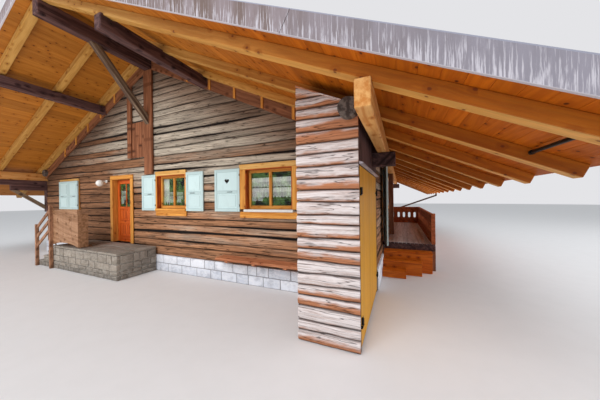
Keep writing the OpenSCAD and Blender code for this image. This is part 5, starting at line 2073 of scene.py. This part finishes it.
class DeckDoor(Door):
    """Glazed door onto the deck."""

    carried = (
        Carried(223, "deck_door_glass", "deck_door_pane", "window_glass", "glass", 0.0006, body="deck_leaf"),
    )

    def make(self) -> None:
        """Make surround and leaf."""
        self.surround(221, "deck_door_surround", "deck_door_frame")
        form, y0, y1 = Form(222, self.side.value), PLAN.leaf_y, PLAN.leaf_y + PLAN.leaf_t
        a, b = self.stiles(form, 0.004)
        _, _, low, high = self.leaf_box()
        form.boxes(0, 0.004, (a, b, y0, y1, low, low + 0.2), (a, b, y0, y1, high - 0.1, high))
        for z in (low + 0.2 + (high - low - 0.3) * k / 3 for k in (1, 2)):
            form.boxes(0, 0.003, (a, b, y0 + 0.006, y0 + 0.019, z - 0.014, z + 0.014))
        form.mark = 1
        self.fittings(form, False)
        form.piece("deck_leaf_wood", "frame_wood black_iron", "frame_wood", "deck_door", "deck_leaf")


class Masonry(Assembly):
    """Plinth of squared stones and the landing of rubble."""

    def plinth(self) -> None:
        """Make two courses of stones round the house, over a core of mortar."""
        form, h = Form(231), PLAN.plinth
        for side, start, end in (
            (Side.FRONT, -5.93, 5.085), (Side.LEFT, 0.145, 10.455), (Side.RIGHT, 0.704, 10.455),
            (Side.REAR, -0.03, 11.83),
        ):
            form.matrix = side.value
            for z0, z1 in ((0.004, 0.205), (0.217, h - 0.004)):
                for a, b in form.lengths(start + 0.002, end - 0.002, 0.22, 0.56, 0.198):
                    out = form.draw.uniform(0.0, 0.006) - PLAN.plinth_out
                    form.stone((a, out, z0), (b - 0.012, 0.14, z1))
        form.mark = 1
        form.matrix = Matrix.Identity(4)
        x, y = (half + PLAN.plinth_out - 0.012 for half in (PLAN.half_w, PLAN.half_d))
        form.boxes(
            0, 0.004,
            *((*row, 0, h - 0.012) for row in (
                (-x, 5.08, -y, -4.97), (-x, -5.57, -4.969, 4.969), (4.78, 5.139, -4.969, -4.24),
                (5.14, 5.569, -4.599, -4.24), (5.57, x, -4.599, 4.969), (-x, x, 4.97, y),
            )),
        )
        form.piece("plinth_stones", "plinth_stone grey_mortar", "plinth_stone", "stone_plinth", crease=50)

    def landing(self) -> None:
        """Make the landing: rubble faces, paved top and treads, over a core of mortar."""
        form = Form(232)
        x0, x1, y0, y1, h, paving = -2.72, 0.28, -6.3, -5.3305, 0.64, 0.05
        steps = ((-3.56, -3.28, 0.16), (-3.28, -3.0, 0.32), (-3.0, -2.72, 0.48))
        form.mark = 1
        form.boxes(
            0, 0.004, (x0 + 0.03, x1 - 0.03, y0 + 0.03, y1, 0, h - 0.03),
            *((a + 0.025, b + 0.02, y0 + 0.03, y1, 0, top - 0.03) for a, b, top in steps),
        )
        form.mark = 0
        for z0, z1 in form.lengths(0.004, h - 0.052, 0.10, 0.17, 0.05):
            for a, b in form.lengths(x0, x1, 0.14, 0.42, 0.12):
                front = y0 + form.draw.uniform(0, 0.01)
                form.stone((a, front, z0), (b - 0.012, y0 + 0.09, z1 - 0.010), 0.014)
            for x in (x1 - 0.09, x0):
                for a, b in form.lengths(y0 + 0.09, y1, 0.14, 0.38, 0.12):
                    form.stone((x, a, z0), (x + 0.09, b - 0.012, z1 - 0.010), 0.014)
        for a, b in form.lengths(x0, x1, 0.42, 0.62, 0.2):
            cut = y0 + form.draw.uniform(0.42, 0.56)
            form.stone((a, y0, h - paving), (b - 0.006, cut - 0.006, h), 0.008)
            form.stone((a, cut, h - paving), (b - 0.006, y1, h), 0.008)
        for a, b, top in steps:
            z, half = 0.004, (b - a) / 2
            while z < top - 0.06:
                z1 = min(z + 0.13, top - paving)
                for x in (a, a + half):
                    form.stone((x, y0, z), (x + half - 0.008, y0 + 0.1, z1 - 0.008))
                for y, stop in form.lengths(y0 + 0.1, y1, 0.2, 0.36):
                    form.stone((a, y, z), (a + 0.1, stop - 0.008, z1 - 0.008))
                z = z1
            middle = (y0 + y1) / 2 + form.draw.uniform(-0.1, 0.1)
            for start, stop in ((y0, middle - 0.004), (middle + 0.004, y1)):
                form.stone((a, start, top - paving), (b - 0.002, stop, top), 0.008)
        finishes = "landing_stone lime_mortar"
        form.piece("landing_stones", finishes, "landing_stone", "entrance_landing", crease=50)

    def make(self) -> None:
        """Make plinth and landing."""
        self.plinth()
        self.landing()


class Porch(Assembly):
    """Railing and carved parapet of the entrance landing, and the wall bench."""

    carried = (Carried(241, "entrance_railing", "landing_railing", "brown_wood", "red_wood", 0.005),)

    def make(self) -> None:
        """Make the parapet and the bench."""
        form = Form(242)
        form.carry("entrance_parapet", 0.004)
        form.mark = 1
        for x in (-2.66 + 0.245 * k for k in range(5)):
            form.boxes(2, 0.0004, (x, x + 0.003, -6.3005, -6.298, 0.87, 1.535))
        form.piece("carved_parapet", "carved_wood dark_wood", "carved_wood", "entrance_parapet")
        form, wall = Form(243), -PLAN.half_d
        for y in (wall - 0.3 + k * 0.1003 for k in range(3)):
            form.box((2.58, y, 0.55), (5.08, y + 0.0985, 0.60), edge=0.006, step=0.5, wave=0.001)
        spots = ((0.285, 0.549), (0.285, 0.515), (0.09, 0.475), (0.0005, 0.475), (0.0005, 0.549))
        for x in (2.83, 3.53, 4.255):
            form.prism([(wall - out, z) for out, z in spots], (x, x + 0.08), 0.005, is_sideways=True)
        form.piece("bench_boards", "bench_wood", "red_wood", "wall_bench")


class Deck(Assembly):
    """Side deck with its steps, parapet and posts."""

    carried = (
        Carried(253, "deck_frame", "deck_beams", "dark_wood", "dark_timber", 0.005),
        Carried(254, "deck_posts", "deck_uprights", "red_wood", "red_wood", 0.006),
        Carried(255, "deck_parapet", "parapet_boards", "maroon_wood", "red_wood", 0.003),
    )

    def floor(self) -> None:
        """Make the deck's boards: pale tops, painted light against the roof's shade, and dark ends at the
        front.
        """
        form, count, x0, x1, end = Form(251), 13, 5.9003, 7.15, 2.8
        pitch = (x1 - x0) / count
        for a in (x0 + k * pitch for k in range(count)):
            start = form.draw.uniform(0, 0.006) - end
            first = len(form.faces)
            form.boxes(1, 0.006, (a + 0.001, a + pitch - 0.004, start, end, 0.64, 0.68))
            # The front end face and its eased edges take the dark wood, so the directly lit ends don't show
            # the pale painted-light tone.
            form.marks[first] = 1
            form.marks[first + 2:first + 10] = [1] * 8
        form.piece("deck_planks", "deck_wood dark_wood", "deck_boards", "deck_floor")

    def make(self) -> None:
        """Make the floor and the box steps: treads, then boarded fronts and sides."""
        self.floor()
        form, x0, y1 = Form(252), 5.9305, -2.8005
        for x1, y0, top in ((6.46, -3.7, 0.17), (6.81, -3.4, 0.34), (7.06, -3.1, 0.51)):
            low, high = 0.002, top - 0.0405
            form.boxes(0, 0.006, *((x0, x1, y, y + 0.148, top - 0.04, top) for y in (y0, y0 + 0.15)))
            form.boxes(0, 0.004, (x0, x1 - 0.012, y0 + 0.012, y0 + 0.04, low, high))
            form.boxes(1, 0.004, (x1 - 0.04, x1 - 0.012, y0 + 0.041, y1, low, high))
        form.piece("deck_step_boards", "orange_wood", "step_wood", "deck_steps")


class GroundFloor(Assembly):
    """Floor boards inside the house."""

    def make(self) -> None:
        """Make them on their filling."""
        form, base, top = Form(261), PLAN.plinth + 0.001, PLAN.floor
        x0, store, x1, count = -5.70, 5.139, 5.70, 60
        form.mark = 1
        form.boxes(
            0, 0.002, (x0, store, -5.10, 5.10, base, top - 0.025),
            (store + 0.0005, x1, -4.60, 5.10, base, top - 0.025),
        )
        form.mark = 0
        pitch = 10.2 / count
        for y in (-5.1 + k * pitch for k in range(count)):
            cut = form.draw.uniform(-3.5, 3.5)
            limits = (y + 0.0005, y + pitch - 0.0005, top - 0.0245, top)
            ends = (x0, cut - 0.0005), (cut + 0.0005, store if y < -4.6 else x1)
            form.boxes(0, 0.002, *((*span, *limits) for span in ends))
        form.piece("floor_boards", "pale_wood dark_wood", "floor_wood", "ground_floor")


class Studio:
    """Pale floor, soft lights and the camera."""

    def floor(self) -> None:
        """Lay the pale floor."""
        work = bmesh.new()
        bmesh.ops.create_circle(work, cap_ends=True, segments=96, radius=70.0)
        for v in work.verts:
            v.co.z = -0.002
        mesh = bpy.data.meshes.new("studio_floor")
        work.to_mesh(mesh)
        work.free()
        s = Shader("studio_floor")
        mottle = s.noise(s.geometry(), 3.0, 5.0, 0.6)
        tone = s.mix(s.band(mottle, 0.35, 0.70) * 0.12, linear((222, 221, 219)), linear((204, 203, 200)))
        mesh.materials.append(s.close(tone, 0.9, mottle, 0.002))
        made = bpy.data.objects.new("studio_floor", mesh)
        bpy.context.scene.collection.objects.link(made)
        made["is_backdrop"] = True

    def light(self, name: str, at: Row, to: Row, size: float, power: float, colour: Colour) -> None:
        """Add one soft area light.

        Args:
            name: Its name.
            at: Where it stands.
            to: Where it points.
            size: Edge of its square.
            power: Watts.
            colour: Tone of its light.
        """
        lamp = bpy.data.lights.new(name, "AREA")
        lamp.shape = "SQUARE"
        lamp.size = size
        lamp.energy = power
        lamp.color = linear(colour)[:3]
        made = bpy.data.objects.new(name, lamp)
        made.location = at
        made.rotation_euler = (Vector(to) - Vector(at)).to_track_quat("-Z", "Y").to_euler()
        made.visible_camera = False
        made.visible_glossy = False
        bpy.context.scene.collection.objects.link(made)
        made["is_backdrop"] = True

    def world(self) -> None:
        """Fill the surroundings with an even pale light."""
        world = bpy.data.worlds.new("studio")
        bpy.context.scene.world = world
        world.use_nodes = True
        tree = world.node_tree
        glow = tree.nodes["Background"]
        glow.inputs["Color"].default_value = (0.80, 0.83, 0.88, 1)
        glow.inputs["Strength"].default_value = 0.80
        seen = tree.nodes.new("ShaderNodeBackground")
        seen.inputs["Color"].default_value = linear((228, 228, 231))
        path = tree.nodes.new("ShaderNodeLightPath")
        blend = tree.nodes.new("ShaderNodeMixShader")
        ends = (path.outputs["Is Camera Ray"], glow.outputs[0], seen.outputs[0])
        for start, end in zip(ends, blend.inputs):
            tree.links.new(start, end)
        tree.links.new(blend.outputs[0], tree.nodes["World Output"].inputs[0])

    def camera(self) -> None:
        """Stand the camera where the photograph was taken."""
        lens = bpy.data.cameras.new("photo_view")
        lens.sensor_width = 36.0
        lens.lens = 13.95
        lens.shift_y = -0.0022
        lens.clip_end = 400.0
        made = bpy.data.objects.new("photo_view", lens)
        turn = Matrix.Rotation(math.radians(23.48), 4, "Z") @ Matrix.Rotation(math.radians(90), 4, "X")
        made.matrix_world = Matrix.Translation((6.36, -9.55, 1.88)) @ turn @ Matrix.Rotation(-0.0119, 4, "Z")
        bpy.context.scene.collection.objects.link(made)
        bpy.context.scene.camera = made

    def build(self) -> None:
        """Set up the whole studio."""
        cool, warm = (250, 250, 255), (255, 246, 236)
        self.floor()
        self.world()
        self.light("sky_front", (2, -22, 16), (0, -4, 2), 16, 3600, cool)
        self.light("sky_right", (23, -3, 6.6), (4, -1, 1.2), 12, 1500, cool)
        self.light("terrace_glow", (9.2, 1.5, 0.05), (9.2, 1.5, 5.0), 6, 190, warm)
        self.light("ground_glow", (-1.0, -11.0, 0.05), (-1.0, -11.0, 5.0), 9, 300, warm)
        self.camera()


def main() -> None:
    """Build the house in order, then the studio."""
    logging.basicConfig(level=logging.INFO, format="%(name)s: %(message)s")
    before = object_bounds()
    noise.seed_set(NOISE_SEED)
    windows = Windows()
    entrance = Entrance(Side.FRONT, -1.75, -0.80, 0.641, 2.52, 0.07, 0.12, 0.005, 0.11, 1.50)
    deck_door = DeckDoor(Side.RIGHT, 2.63, 3.48, 0.681, 2.64, 0.01, 0.06, 0.004, 0.10, 1.72)
    for part in (
        Masonry(), GroundFloor(), Walls(windows), Framing(), Roof(), windows, entrance, SlabWall(),
        StoreRoom(), deck_door, Deck(), Porch(),
    ):
        part.build()
    Studio().build()
    boxes = (("cad", before), ("visual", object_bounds()))
    sizes = {key: [[float(n) for n in corner] for corner in box] for key, box in boxes}
    LOG.info("sizes %s", sizes)
    bpy.context.scene.view_settings.view_transform = "Standard"


if __name__ == "__main__":
    main()
